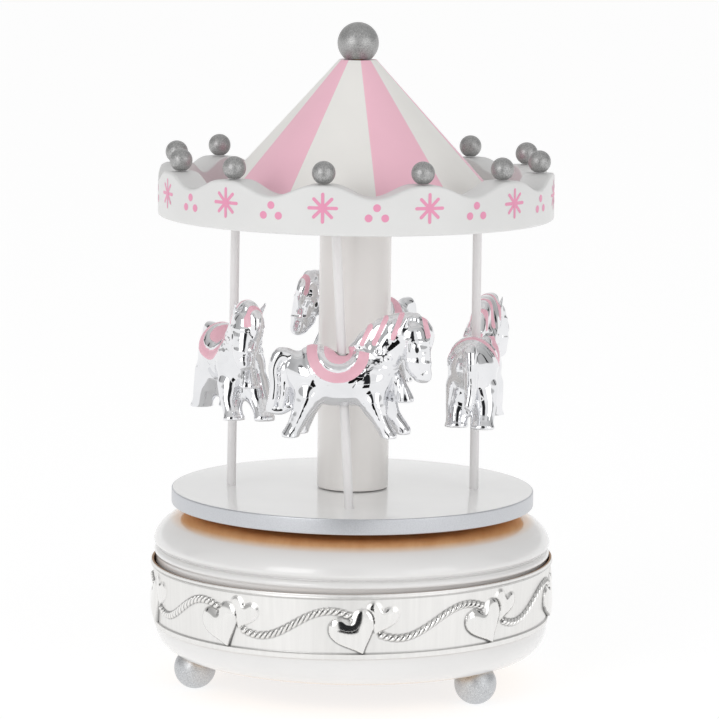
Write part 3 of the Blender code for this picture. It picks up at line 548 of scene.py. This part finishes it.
def rope_relief(x, z, start, end):
    """The height of a twisted rope that waves up and down from start to end, and the painted shade between
    its strands.
    """
    trough, half_wave, middle, swing, width, spacing = 14.0, 21.5, 28.5, 4.1, 1.02, 1.66
    phase = math.pi * (x - trough) / half_wave
    rise = swing * math.pi / half_wave * np.sin(phase)
    across = (z - middle + swing * np.cos(phase)) / np.sqrt(1 + rise**2)
    strand = np.abs(np.sin(math.pi * (x / spacing - 0.5 * across / width)))
    body = np.sqrt(np.clip(1 - (across / (width * (0.8 + 0.25 * strand))) ** 2, 0, 1))
    within = (x > start) & (x < end)
    # Painted shade between the rope's strands, standing in for the shade of those hollows.
    groove_shade = np.clip(1.15 - 2.2 * strand, 0, 1) * np.clip(2.2 * body - 0.5, 0, 1)
    return np.where(within, 0.95 * body * (0.25 + 0.75 * strand**0.7), 0), np.where(within, groove_shade, 0)


def blurred(relief, reach):
    """A relief averaged over a square of the grid."""
    for axis in (0, 1):
        shifts = [np.roll(relief, shift, axis) for shift in range(-reach, reach + 1)]
        relief = sum(shifts) / len(shifts)
    return relief


def make_band():
    """The embossed silver band: nine pairs of hearts on a twisted rope, with painted shade in its hollows."""
    repeats, columns, rows = 9, 204, 102
    pitch = 360 / repeats
    pattern_radius, start = 59.6, -8.0
    heights = np.linspace(BAND_BOTTOM, BAND_TOP, rows)
    radius = BAND_RADIUS - BAND_FLARE * (BAND_TOP - heights) / (BAND_TOP - BAND_BOTTOM)
    span = math.radians(pitch) * pattern_radius
    along = np.linspace(start, start + span, columns, endpoint=False)
    x, z = np.meshgrid(along, heights, indexing="ij")
    ropes = [rope_relief(x + shift, z, 8.0, span + 1.5) for shift in (0, span)]
    relief, groove_shade = np.maximum(*ropes)
    rear = outline_depth(x, z, heart_outline((8.75, 31.0), 0.341, -18.4))
    front = outline_depth(x, z, heart_outline((0.66, 27.1), 0.456, 22.5))
    for depth, height, tilt in ((rear, 0.75, 0.03), (front, 0.95, 0.1)):
        heart = blurred(height * heart_relief(depth), 1) + tilt * (31.5 - z)
        relief = np.where(depth > 0, heart, relief)
        groove_shade = np.where(depth > 0, 0, groove_shade)
    edges = 0.45 * rising(36.3 - z, 0.35) + 0.45 * rising(z - 20.0, 0.35)
    edges += 0.2 * np.exp(-(((z - 36.4) / 0.2) ** 2)) + 0.2 * np.exp(-(((z - 19.9) / 0.2) ** 2))
    relief = np.maximum(relief, edges)
    # Painted shade: darker where the relief sits below its surroundings and between the rope's strands.
    recess_shade = np.maximum(groove_shade, np.clip((blurred(relief, 3) - relief) * 3.0 - 0.18, 0, 0.7))
    outer = radius[None, :] - 0.5 + relief
    outer[:, 0] -= 0.25
    outer[:, -1] -= 0.15
    inner = [(radius[-1] - 0.75, BAND_TOP - 0.05), (radius[0] - 0.75, BAND_BOTTOM + 0.05)]
    rings = []
    for column in range(repeats * columns):
        azimuth = 0.2 + math.degrees(start / pattern_radius) + pitch * column / columns
        lean = BAND_LEAN * math.sin(math.radians(azimuth))
        profile = list(zip(outer[column % columns], heights)) + inner
        rings.append([polar(r, azimuth, height + lean) for r, height in profile])
    shape = sweep(rings, paint=lambda _, point: int(point >= rows - 1))
    mesh = finish_mesh("band", shape, [BAND_SILVER, BAND_BACK], 60)
    for name, values in (("recess_shade", recess_shade), ("raised", np.clip(relief - edges, 0, 1))):
        values = np.hstack([values, np.zeros((columns, len(inner)))])
        keep(mesh, name, np.tile(values, (repeats, 1)))
    place("embossed_band", mesh, "base", ["decorative_band"])


# ---------------------------------------------------------------- carousel


def make_platform():
    """The platform: gloss top, silver edge and a bare wooden underside."""
    ease = 0.5
    hole = SPIGOT_RADIUS + 0.3
    outline = eased(
        [
            (hole, PLATFORM_BOTTOM, 0),
            (PLATFORM_RADIUS, PLATFORM_BOTTOM, ease),
            (PLATFORM_RADIUS, PLATFORM_TOP, ease),
            (hole, PLATFORM_TOP, 0),
        ],
        6,
    )
    count = len(outline)

    def paint(_, point):
        """0 white top, 1 silver edge, 2 bare underside."""
        first, second = outline[point], outline[(point + 1) % count]
        middle_radius = (first[0] + second[0]) / 2
        middle_height = (first[1] + second[1]) / 2
        if middle_radius > PLATFORM_RADIUS - ease * 0.6:
            return 1
        return 2 if middle_height < PLATFORM_TOP - 1 else 0

    mesh = finish_mesh("platform", turned(outline, 256, paint), [WHITE_LACQUER, EDGE_SILVER, BARE_WOOD])
    place("platform_disc", mesh, "carousel", ["platform"])


def make_column():
    """The column, with a narrower spigot at each end."""
    shoulder = 0.5
    outline = eased(
        [
            (0, PLATFORM_BOTTOM + 0.2, 0),
            (SPIGOT_RADIUS, PLATFORM_BOTTOM + 0.2, 0.2),
            (SPIGOT_RADIUS, PLATFORM_TOP + 0.3, 0),
            (COLUMN_RADIUS, PLATFORM_TOP + 0.3, shoulder),
            (COLUMN_RADIUS, CANOPY_BOTTOM - 0.3, shoulder),
            (SPIGOT_RADIUS, CANOPY_BOTTOM - 0.3, 0),
            (SPIGOT_RADIUS, COLUMN_TOP, 0.2),
            (0, COLUMN_TOP, 0),
        ],
        4,
    )
    mesh = finish_mesh("column", turned(outline, 160), [COLUMN_WHITE])
    place("column_turned", mesh, "carousel", ["column"])


def make_poles():
    for number, side in enumerate(SIDES):
        bottom, top = pole_ends(number)
        length = (top - bottom).length
        outline = [(0, -3.0), (POLE_RADIUS, -3.0), (POLE_RADIUS, length + 2.0), (0, length + 2.0)]
        mesh = finish_mesh("pole", turned(outline, 40), [POLE_PLASTIC])
        turn = Vector((0, 0, 1)).rotation_difference(top - bottom).to_matrix()
        place(f"pole_{side}_tube", mesh, "carousel", [f"pole_{side}"], bottom, turn)


def crown_top(angle):
    """Height of the scalloped edge at an angle in degrees from a crest."""
    span = 180 / CROWN_SCALLOPS
    away = abs((angle + span) % (2 * span) - span) / span
    flat = 0.14
    fall = max(0.0, (away - flat) / (1 - flat))
    return CROWN_CREST - (CROWN_CREST - CROWN_TROUGH) * (0.5 - 0.5 * math.cos(math.pi * fall))


def make_crown():
    """The canopy's scalloped ring."""
    rings = []
    segments = 60 * CROWN_SCALLOPS
    for step in range(segments):
        away = 360 * step / segments
        top = crown_top(away)
        section = eased(
            [
                (CROWN_INNER, CANOPY_BOTTOM, 0.4),
                (CROWN_RADIUS, CANOPY_BOTTOM, 0.9),
                (CROWN_RADIUS, top, 1.0),
                (CROWN_INNER, top, 0.6),
            ],
            5,
        )
        rings.append([polar(radius, CROWN_AZIMUTH + away, height) for radius, height in section])
    mesh = finish_mesh("crown", sweep(rings), [WHITE_SATIN])
    place("crown", mesh, "carousel", ["crown_ring"])


def stroke_points(length, width, angle):
    """Outline of a round-ended stroke from a centre, in (across, up)."""
    points = [(0.0, -width / 2), (0.0, width / 2)]
    points += arc((length - width / 2, 0), (width / 2, width / 2), 90, -90, 5)
    c, s = math.cos(math.radians(angle)), math.sin(math.radians(angle))
    return [(x * c - y * s, x * s + y * c) for x, y in points]


def painted_mark(shape, outlines, azimuth, height):
    """Adds thin flat marks that follow the crown's outer wall, each a hair further out than the last."""
    radius = CROWN_RADIUS + 0.04
    for level, outline in enumerate(outlines):
        corners = []
        for across, up in outline:
            place_round = azimuth + math.degrees(across / radius)
            corners.append(shape.verts.new(polar(radius + 0.004 * level, place_round, height + up)))
        face = shape.faces.new(corners)
        face.normal_update()
        outward = polar(1, azimuth, 0)
        if face.normal.dot(outward) < 0:
            face.normal_flip()


def make_marks():
    """The pink stars under the crests and the three dots under the troughs."""
    stars, dots = bmesh.new(), bmesh.new()
    pitch = 360 / CROWN_SCALLOPS
    for number in range(CROWN_SCALLOPS):
        crest = CROWN_AZIMUTH + MARKS_AZIMUTH + pitch * number
        arms = [stroke_points(4.4 if arm % 2 == 0 else 4.1, 0.95, 45 * arm) for arm in range(8)]
        painted_mark(stars, arms, crest, 147.7)
        circles = []
        for x, y in ((0, 1.45), (-2.35, -1.45), (2.35, -1.45)):
            ring = np.radians(np.linspace(0, 360, 28, endpoint=False))
            circles.append([(x + 1.1 * math.cos(a), y + 1.1 * math.sin(a)) for a in ring])
        painted_mark(dots, circles, crest + pitch / 2, 146.5)
    for name, shape in (("crown_stars", stars), ("crown_dots", dots)):
        shape.transform(Matrix.Scale(MM, 4))
        mesh = bpy.data.meshes.new(name)
        shape.to_mesh(mesh)
        shape.free()
        mesh.materials.append(PINK_PAINT)
        place(name, mesh, "carousel")


def make_roof():
    """The cone, in pink and white stripes."""
    bottom = CANOPY_BOTTOM + 3.3
    edge = bottom + 0.4
    socket, socket_top = SPIGOT_RADIUS + 0.3, 148.8
    peg_hole, peg_hole_floor = 1.8, 177.7
    outline = [(socket, bottom), ((CONE_APEX - edge) * CONE_SLOPE, bottom)]
    outline += [((CONE_APEX - height) * CONE_SLOPE, height) for height in np.linspace(edge, CONE_TOP, 24)]
    outline += [(peg_hole, CONE_TOP), (peg_hole, peg_hole_floor), (0, peg_hole_floor)]
    outline += [(0, socket_top), (socket, socket_top)]
    rings = []
    for step in range(360):
        rings.append([polar(radius, CONE_AZIMUTH + step, height) for radius, height in outline])
    pair = 720 // CONE_STRIPES
    shape = sweep(rings, paint=lambda step, _: int(step % pair >= PINK_WIDTH))
    bmesh.ops.remove_doubles(shape, verts=shape.verts, dist=1e-4)
    mesh = finish_mesh("roof", shape, [ROOF_PINK, ROOF_WHITE])
    place("roof_stripes", mesh, "carousel", ["roof_cone"])


# ---------------------------------------------------------------- horses


# each chain is a row of balls (forward, left, up, radius) from the hooves' middle, joined into one limb
BODY = [(-10.0, 0, 17.0, 6.7), (-4, 0, 15.4, 6.9), (2, 0, 15.4, 6.9), (6.6, 0, 16.6, 7.0)]
CROUP = [(-12.6, 0, 18.8, 5.4), (-10.0, 0, 19.6, 5.6)]
NECK = [(6.8, 0, 18.5, 6.6), (11.4, -0.7, 25.0, 5.6), (16.0, -1.6, 29.4, 4.9)]
HEAD = [(19.0, -2.2, 29.6, 4.5), (20.0, -3.1, 25.6, 4.1), (20.9, -3.9, 21.8, 3.4), (21.8, -4.3, 19.2, 2.6)]
CHIN = [(19.2, -3.8, 20.8, 2.3), (20.8, -4.3, 17.9, 1.4), (22.7, -4.4, 17.8, 1.6)]
CREST = [(2.0, 0, 25.2, 1.5), (5.4, 0, 27.8, 2.2), (10.0, -0.4, 31.4, 2.5), (15.0, -1.2, 33.2, 2.4),
         (19.4, -2.0, 33.6, 2.2)]
FORELOCK = [(19.2, -1.6, 33.7, 1.8), (22.6, -1.4, 32.2, 1.6), (24.0, -1.5, 29.0, 1.3),
            (23.6, -2.0, 25.6, 0.7)]
EARS = [
    [(15.2, -4.9, 29.6, 1.5), (17.4, -5.8, 35.0, 0.5)],
    [(15.4, 1.6, 30.0, 1.5), (18.2, 3.4, 35.0, 0.5)],
]
TAIL = [
    [(-14.6, 0, 22.0, 2.1), (-18.9, -0.4, 23.4, 2.1), (-20.9, -0.8, 19.6, 1.6), (-20.6, -1.0, 15.0, 1.45),
     (-21.0, -0.8, 10.6, 1.5), (-21.8, -0.4, 7.8, 1.35)],
    [(-15.6, 0.3, 22.8, 1.7), (-18.0, -1.2, 19.5, 1.25), (-17.8, -1.4, 13.5, 1.25), (-18.6, -1.0, 8.6, 1.1)],
    [(-14.6, 0.6, 21.6, 1.6), (-15.6, 0.2, 17.0, 1.2), (-15.4, 0.0, 11.8, 1.15), (-15.2, -0.1, 9.0, 0.9)],
    [(-21.8, -0.4, 7.3, 1.3), (-18.6, -0.5, 7.0, 1.3), (-15.2, -0.3, 8.5, 1.0)],
]
TAIL_WEB = [(-18.0, 0.4, 20.5, 3.0), (-18.3, 0.3, 10.5, 2.8)]
THIGHS = [
    [(-9.0, -2.8, 16.5, 5.2), (-11.4, -3.2, 10.4, 3.6)],
    [(-8.8, 2.8, 16.5, 5.0), (-10.2, 3.2, 10.2, 3.5)],
    [(6.4, -2.8, 14.8, 4.8), (8.1, -3.2, 9.2, 3.3)],
    [(8.4, 2.8, 15.0, 4.8), (11.0, 3.2, 9.2, 3.4)],
]
SHANKS = [
    [(-11.0, -3.5, 11.5, 3.2), (-13.2, -3.9, 6.0, 2.7), (-14.8, -4.0, 2.2, 2.3)],
    [(-10.0, 3.5, 11.5, 3.0), (-11.3, 3.9, 6.0, 2.6), (-12.6, 4.0, 2.2, 2.3)],
    [(7.9, -3.5, 10.0, 2.9), (9.7, -3.9, 5.6, 2.5), (11.4, -4.0, 2.2, 2.1)],
    [(10.6, 3.5, 10.0, 3.0), (13.2, 3.9, 5.6, 2.6), (15.4, 4.0, 2.6, 2.2)],
]
HOOVES = [
    [(-15.2, -4.0, 2.2, 2.1), (-15.8, -4.0, 0.4, 2.7)],
    [(-12.8, 4.0, 2.2, 2.1), (-13.2, 4.0, 0.4, 2.6)],
    [(11.6, -4.0, 2.2, 1.9), (12.4, -4.0, 0.4, 2.5)],
    [(15.8, 4.0, 2.6, 1.9), (16.6, 4.0, 0.8, 2.4)],
]
SADDLE_ENDS = [
    [(-9.4, -3.4, 23.2, 1.5), (-9.6, 0, 24.6, 1.6), (-9.4, 3.4, 23.2, 1.5)],
    [(3.6, -3.0, 23.6, 1.2), (3.9, 0, 24.6, 1.3), (3.6, 3.0, 23.6, 1.2)],
]
TASSEL = [(13.0, -0.6, 20.6, 1.4), (16.6, -0.8, 10.4, 2.9)]
TASSEL_HEM = 10.0
# mane locks as (forward, up) from crest to tip
PINK_LOCKS = [((6.8, 32.0), (4.4, 27.0)), ((11.3, 34.6), (7.9, 27.4)), ((15.8, 35.8), (13.2, 29.2)),
              ((22.2, 34.8), (23.4, 29.6))]
SILVER_LOCKS = [((4.6, 29.6), (2.9, 26.4)), ((9.2, 33.4), (5.9, 26.6)), ((13.6, 35.2), (9.9, 27.2)),
                ((18.0, 36.0), (15.6, 30.0)), ((20.2, 35.6), (21.4, 30.6)), ((12.0, 32.6), (9.8, 26.4))]
CURLS = [((9.2, 25.2), 1.2), ((11.6, 23.2), 1.0)]
POLE_HOLE = 1.75
POLE_LEAN = math.atan(0.0594)  # of the shared mesh's hole, towards the tail
HOLE_RIM = 0.5  # what lies nearer the hole than this moves with it when it is bent onto a pole
BEND_REACH = 3.5  # beyond the rim, the horse gives way over this distance
EYE = (20.2, 26.0)


def rod_distance(points, first, second, width=1.0):
    """Distance to a tapered rod between two balls, narrowed sideways by width."""
    start, end = np.array(first[:3], float), np.array(second[:3], float)
    reach = end - start
    away = points - start
    share = np.clip(away @ reach / (reach @ reach), 0, 1)
    gap = away - share[:, None] * reach
    gap[:, 1] /= width
    return np.sqrt((gap**2).sum(1)) - (first[3] + share * (second[3] - first[3]))


def melt(first, second, blend):
    """The smaller of two distances, blended where they are nearly the same."""
    near = np.clip(blend - np.abs(first - second), 0, None) / blend
    return np.minimum(first, second) - near**2 * blend / 4


def flowing(chain, steps=3):
    """A chain's balls set closer together, on a smooth curve through them."""
    balls = np.array([chain[0], *chain, chain[-1]], float)
    closer = []
    for a, b, c, d in zip(balls, balls[1:], balls[2:], balls[3:]):
        for t in np.arange(steps) / steps:
            bend = (2 * a - 5 * b + 4 * c - d) * t**2 + (3 * b - a - 3 * c + d) * t**3
            closer.append(b + ((c - a) * t + bend) / 2)
    return [*closer, balls[-1]]


def limb_distance(points, chain, width=1.0):
    if len(chain) > 2:
        chain = flowing(chain)
    distance = rod_distance(points, chain[0], chain[1], width)
    for first, second in zip(chain[1:], chain[2:]):
        distance = np.minimum(distance, rod_distance(points, first, second, width))
    return distance


def stroke_distance(points, first, second):
    """Distance seen from the side to a line between two (forward, up) points."""
    flat = points[:, [0, 2]]
    start, end = np.array(first, float), np.array(second, float)
    reach = end - start
    share = np.clip((flat - start) @ reach / (reach @ reach), 0, 1)
    return np.sqrt((((flat - start) - share[:, None] * reach) ** 2).sum(1))


def oval(points, centre, radii):
    """Roughly the distance seen from the side to an oval, negative inside it."""
    across = (points[:, 0] - centre[0]) / radii[0]
    up = (points[:, 2] - centre[1]) / radii[1]
    return (np.sqrt(across**2 + up**2) - 1) * min(radii)


def saddle_edges(points):
    """Distances to the blanket's outer edge, cut off along the top, its inner edge and the seat's edge."""
    above = points[:, 2] + 0.12 * points[:, 0] - 25.4
    blanket = oval(points, (-2.4, 25.4), (9.1, 9.3))
    inner = oval(points, (-2.4, 25.3), (6.0, 6.3))
    seat = oval(points, (-2.2, 25.2), (4.3, 3.8))
    return np.maximum(blanket, above), inner, seat


def saddle_relief(points):
    """How far the saddle cloth, its frill, the roll round the seat and the seat stand off the body."""
    blanket, inner, seat = saddle_edges(points)
    angle = np.arctan2(points[:, 2] - 25.4, points[:, 0] + 2.4)
    frill = blanket - 0.8 - 0.5 * np.abs(np.cos(8 * angle))
    relief = 0.4 * rising(frill, 0.35)
    relief += 0.35 * rising(blanket, 0.3)
    roll = np.clip(inner / -1.1, 0, 1) * np.clip(seat / 0.9, 0, 1)
    relief += 0.75 * np.sin(np.clip(roll * 2.2, 0, 1) * math.pi / 2)
    relief += 0.75 * rising(seat, 0.6)
    return relief


def collar_relief(points):
    """The ruffled breast collar, from the saddle cloth to the chest."""
    forward, up = points[:, 0], points[:, 2]
    line = 19.6 + 0.12 * (forward - 5.0) + 0.35 * np.sin(forward * 2.6)
    ends = rising(5.4 - forward, 1.2) * rising(forward - 15.0, 1.0)
    ruffle = np.exp(-(((up - line) / 0.7) ** 2)) + 0.7 * np.exp(-(((up - line - 1.7) / 0.5) ** 2))
    return 0.45 * ends * ruffle


def mane_relief(points):
    relief = np.zeros(len(points))
    for first, second in PINK_LOCKS + SILVER_LOCKS:
        across = stroke_distance(points, first, second) / 1.2
        relief = np.maximum(relief, 0.5 * np.sqrt(np.clip(1 - across**2, 0, 1)))
    for centre, radius in CURLS:
        away = stroke_distance(points, centre, (centre[0] + 0.01, centre[1]))
        relief = np.maximum(relief, 0.75 * np.exp(-(((away - radius) / 0.5) ** 2)))
    return relief


def face_relief(points):
    """The bridle, the eye's lid, the nostril and the mouth."""
    relief = np.zeros(len(points))
    straps = [((15.6, 23.0), (24.8, 21.8)), ((17.2, 22.2), (17.8, 29.0)), ((15.6, 28.8), (24.6, 28.2))]
    for first, second in straps:
        relief += 0.3 * rising(stroke_distance(points, first, second) - 0.4, 0.25)
    lid = oval(points, EYE, (0.95, 1.25))
    relief += 0.35 * np.exp(-((lid / 0.3) ** 2)) + 0.25 * rising(lid + 0.3, 0.4)
    relief -= 0.5 * rising(stroke_distance(points, (21.8, 19.5), (22.5, 20.1)) - 0.2, 0.5)
    relief -= 0.45 * rising(stroke_distance(points, (18.8, 17.7), (24.4, 18.4)) - 0.05, 0.45)
    return relief


def pole_gap(points):
    """Distance from the axis of the hole in the horse that all four share."""
    across = points[:, 0] * math.cos(POLE_LEAN) + points[:, 2] * math.sin(POLE_LEAN)
    return np.hypot(across, points[:, 1])


def horse_distance(points):
    """Distance to the horse's surface, negative inside."""
    body = limb_distance(points, BODY, 0.92)
    body = melt(body, limb_distance(points, CROUP, 0.95), 3.0)
    for thigh, shank in zip(THIGHS, SHANKS):
        body = melt(body, limb_distance(points, thigh, 0.85), 2.4)
        body = melt(body, limb_distance(points, shank, 1.4), 2.4)
    neck = limb_distance(points, NECK, 0.85)
    trunk = melt(body - saddle_relief(points), neck, 2.4) - collar_relief(points)
    hair = melt(neck, limb_distance(points, CREST), 1.6) - mane_relief(points)
    hair = np.minimum(hair, limb_distance(points, FORELOCK, 1.2) - 0.5 * mane_relief(points))
    head = melt(limb_distance(points, HEAD, 1.05), limb_distance(points, CHIN, 1.25), 1.4)
    head = head - face_relief(points)
    horse = melt(melt(trunk, hair, 0.5), head, 0.7)
    for ear in EARS:
        horse = melt(horse, limb_distance(points, ear, 0.6), 0.5)
    tail = limb_distance(points, TAIL_WEB, 0.35)
    for lock in TAIL:
        tail = melt(tail, limb_distance(points, lock), 0.3)
    horse = melt(horse, tail, 0.8)
    for hoof in HOOVES:
        horse = melt(horse, limb_distance(points, hoof, 1.4), 0.5)
    for end in SADDLE_ENDS:
        horse = melt(horse, limb_distance(points, end), 0.9)
    spread = np.arctan2(points[:, 1] + 0.7, points[:, 0] - 15.0)
    tassel = limb_distance(points, TASSEL) - 0.22 * np.cos(9 * spread)
    horse = melt(horse, np.maximum(tassel, TASSEL_HEM - points[:, 2]), 0.4)
    horse = np.maximum(horse, -points[:, 2])
    hole = POLE_HOLE - pole_gap(points)
    return np.maximum(horse, hole)


def horse_paint(points):
    """Distances to the edges of the pink paint, the eye and the dark glue in the pole's hole."""
    blanket, inner, seat = saddle_edges(points)
    above = points[:, 2] - 25.9
    paint = np.minimum(np.maximum(blanket, -inner), np.maximum(seat, above))
    for first, second in PINK_LOCKS:
        paint = np.minimum(paint, stroke_distance(points, first, second) - 0.72)
    eye = oval(points, EYE, (0.55, 0.85))
    glue = pole_gap(points) - POLE_HOLE - 0.3
    return {"paint_edge": paint, "eye_edge": eye, "glue_edge": glue}


def surface_net(field, low, cell):
    """Points and four-sided faces of the surface where a field on a grid changes sign."""
    inside = field < 0
    shape = np.array(field.shape) - 1
    total = np.zeros((*shape, 3))
    hits = np.zeros(shape)
    for axis in range(3):
        for first in (0, 1):
            for second in (0, 1):
                start = [first, second]
                start.insert(axis, 0)
                end = list(start)
                end[axis] = 1
                here = field[tuple(slice(a, a + n) for a, n in zip(start, shape))]
                there = field[tuple(slice(a, a + n) for a, n in zip(end, shape))]
                crossing = (here < 0) != (there < 0)
                share = here[crossing] / (here[crossing] - there[crossing])
                point = np.tile(np.array(start, float), (len(share), 1))
                point[:, axis] += share
                total[crossing] += point
                hits[crossing] += 1
    used = hits > 0
    index = np.full(shape, -1)
    index[used] = np.arange(used.sum())
    points = (np.argwhere(used) + total[used] / hits[used][:, None]) * cell + low
    faces = []
    for axis in range(3):
        others = [n for n in range(3) if n != axis]
        begin = tuple(slice(0, -1) if n == axis else slice(1, -1) for n in range(3))
        finish = tuple(slice(1, None) if n == axis else slice(1, -1) for n in range(3))
        base = np.argwhere(inside[begin] != inside[finish])
        base[:, others] += 1
        corners = []
        for first, second in ((-1, -1), (0, -1), (0, 0), (-1, 0)):
            corner = base.copy()
            corner[:, others[0]] += first
            corner[:, others[1]] += second
            corners.append(index[tuple(corner.T)])
        faces.append(np.stack(corners, 1))
    return points, np.concatenate(faces)


def horse_mesh():
    """The horse's mesh: a net round the field's surface, then each point drawn onto the surface itself."""
    cell = 0.4
    low, high = np.array([-25.0, -9.4, -1.2]), np.array([28.0, 9.4, 38.5])
    counts = (np.ceil((high - low) / cell / 4) * 4).astype(int)
    axes = [low[n] + cell * np.arange(counts[n]) for n in range(3)]
    coarse_axes = [axis[::4] + 1.5 * cell for axis in axes]
    coarse = np.stack(np.meshgrid(*coarse_axes, indexing="ij"), -1).reshape(-1, 3)
    rough = horse_distance(coarse).reshape(counts // 4)
    for axis in range(3):
        rough = np.repeat(rough, 4, axis)
    near = np.abs(rough) < 8.5 * cell
    field = rough.copy()
    grid = np.stack(np.meshgrid(*axes, indexing="ij"), -1)
    field[near] = horse_distance(grid[near])
    points, faces = surface_net(field, low, cell)
    step = 0.02
    for _ in range(2):
        height = horse_distance(points)
        rises = [horse_distance(points + step * np.eye(3)[axis]) - height for axis in range(3)]
        slope = np.stack(rises, 1) / step
        size = np.clip((slope**2).sum(1), 0.3, None)
        move = slope * (height / size)[:, None]
        points = points - np.clip(move, -cell / 2, cell / 2)
    mesh = bpy.data.meshes.new("horse")
    mesh.from_pydata(points.tolist(), [], faces.tolist())
    shape = bmesh.new()
    shape.from_mesh(mesh)
    bpy.data.meshes.remove(mesh)
    for _ in range(3):
        axes_used = {"use_axis_x": True, "use_axis_y": True, "use_axis_z": True}
        bmesh.ops.smooth_vert(shape, verts=shape.verts, factor=0.5, **axes_used)
    mesh = finish_mesh("horse", shape, [HORSE_CHROME], 75)
    for name, values in horse_paint(points).items():
        keep(mesh, name, values)
    return mesh


def fitted_horse(mesh, side, pole_slope):
    """A copy of the horse with its hole bent onto its own pole, which runs pole_slope sideways per unit."""
    fitted = mesh.copy()
    fitted.name = f"horse_{side}"
    points = np.empty(3 * len(fitted.vertices), np.float32)
    fitted.vertices.foreach_get("co", points)
    points = points.reshape(-1, 3)
    share = rising(pole_gap(points / MM) - POLE_HOLE - HOLE_RIM - BEND_REACH / 2, BEND_REACH)
    up = np.clip(points[:, 2], 0, None)
    points[:, 0] += share * up * (pole_slope.x + math.tan(POLE_LEAN))
    points[:, 1] += share * up * pole_slope.y
    fitted.vertices.foreach_set("co", points.ravel())
    fitted.update()
    return fitted


def make_horses():
    """The four horses, each upright on its leaning pole."""
    mesh = horse_mesh()
    for number, side in enumerate(SIDES):
        heading, height = HORSES[side]
        bottom, top = pole_ends(number)
        spot = bottom.lerp(top, (height - bottom.z) / (top.z - bottom.z))
        turn = Matrix.Rotation(math.radians(heading), 3, "Z")
        pole_slope = turn.inverted() @ (top - bottom) / (top.z - bottom.z)
        fitted = fitted_horse(mesh, side, pole_slope)
        place(f"horse_{side}_cast", fitted, "carousel", [f"horse_{side}"], spot, turn)


make_base()
make_balls()
make_band()
make_platform()
make_column()
make_poles()
make_crown()
make_marks()
make_roof()
make_horses()


# ---------------------------------------------------------------- stage, light and camera, in metres


def stage_sheet(name, corners, **looks):
    """A flat sheet of the studio, which isn't part of the object."""
    sheet = bpy.data.meshes.new(name)
    sheet.from_pydata(corners, [], [(0, 1, 2, 3)])
    nodes = Nodes(name)
    nodes.set(Specular_IOR_Level=0.0, **looks)
    sheet.materials.append(nodes.material)
    linked(name, sheet)


def make_stage():
    """The pale floor, and a dark card on it before the object that draws the chrome's dark lines."""
    size, card_height = 6.0, 0.002
    floor = [(-size, -size, 0), (size, -size, 0), (size, size, 0), (-size, size, 0)]
    glow = {"Emission_Color": (1, 1, 1, 1), "Emission_Strength": FLOOR_GLOW}
    stage_sheet("floor", floor, Base_Color=(0.3, 0.3, 0.3, 1), Roughness=0.6, **glow)
    card = [(x, y, card_height) for x, y in ((-0.36, -1.7), (0.2, -1.7), (0.034, -0.29), (-0.086, -0.29))]
    stage_sheet("dark_card", card, Base_Color=(0.01, 0.01, 0.01, 1), Roughness=0.9)


def make_light(name, location, size, power):
    """A square lamp that looks at the object's middle."""
    light = bpy.data.lights.new(name, "AREA")
    light.size = size
    light.energy = power
    holder = linked(name, light)
    holder.location = location
    aim = Vector((0, 0, 0.1)) - Vector(location)
    holder.rotation_mode = "QUATERNION"
    holder.rotation_quaternion = aim.to_track_quat("-Z", "Y")


def make_world():
    """A white studio: a bright strip along the floor, screens with dark gaps, and a dimmer ceiling."""
    world = bpy.data.worlds.new("studio")
    bpy.context.scene.world = world
    nodes = Tree(world)

    def levels(value, stops):
        return nodes.ramp(value, *((position, (level, level, level)) for position, level in stops))

    def maths(operation, first, second):
        return nodes.add("ShaderNodeMath", {0: first, 1: second}, operation=operation).outputs[0]

    direction = nodes.add("ShaderNodeTexCoord").outputs["Generated"]
    right, back, rise = nodes.add("ShaderNodeSeparateXYZ", {0: direction}).outputs
    turn = maths("ARCTAN2", right, maths("MULTIPLY", back, -1.0))
    azimuth = nodes.between(turn, 0.0, 1.0, -math.pi, math.pi)
    walls = levels(azimuth, [((centre + 180) / 360, level) for centre, level in WALLS])

    def darkened(room, gaps, heights):
        """The room with dark gaps in it, between the heights given."""
        stops = []
        for centre, half in gaps:
            for edge, level in ((-1.4, 0), (-1, 1), (1, 1), (1.4, 0)):
                stops.append(((centre + edge * half + 180) / 360, level))
        dark = maths("MULTIPLY", levels(azimuth, stops), levels(rise, heights))
        return nodes.mix(dark, room, (0.02, 0.021, 0.023, 1))

    room = darkened(walls, DARK_GAPS, [(0.1, 0), (0.16, 1), (0.6, 1), (0.75, 0)])
    room = nodes.mix(levels(rise, [(0.5, 0), (0.9, 1)]), room, (CEILING, CEILING, CEILING, 1))
    room = nodes.mix(levels(rise, [(0.09, 1), (0.15, 0)]), room, (1, 1, 1, 1))
    room = darkened(room, [FRONT_GAP], [(0.0, 1), (0.6, 1), (0.75, 0)])
    background = nodes.tree.nodes["Background"]
    nodes.tree.links.new(room, background.inputs["Color"])
    background.inputs["Strength"].default_value = 1.0


def make_camera():
    camera = bpy.data.cameras.new("camera")
    camera.lens = 192.3
    camera.sensor_width = 36
    holder = linked("camera", camera)
    tilt = Matrix.Rotation(math.radians(90 - 8.02), 4, "X")
    roll = Matrix.Rotation(math.radians(0.75), 4, "Z")
    holder.matrix_world = Matrix.Translation((0.0016, -1.1323, 0.2563)) @ tilt @ roll
    bpy.context.scene.camera = holder


make_stage()
make_world()
make_light("key", (-0.8, -1.1, 0.55), 0.7, 3.9)
make_light("fill", (1.0, -0.9, 0.5), 0.7, 2)
make_camera()
bpy.context.scene.view_settings.view_transform = "Standard"
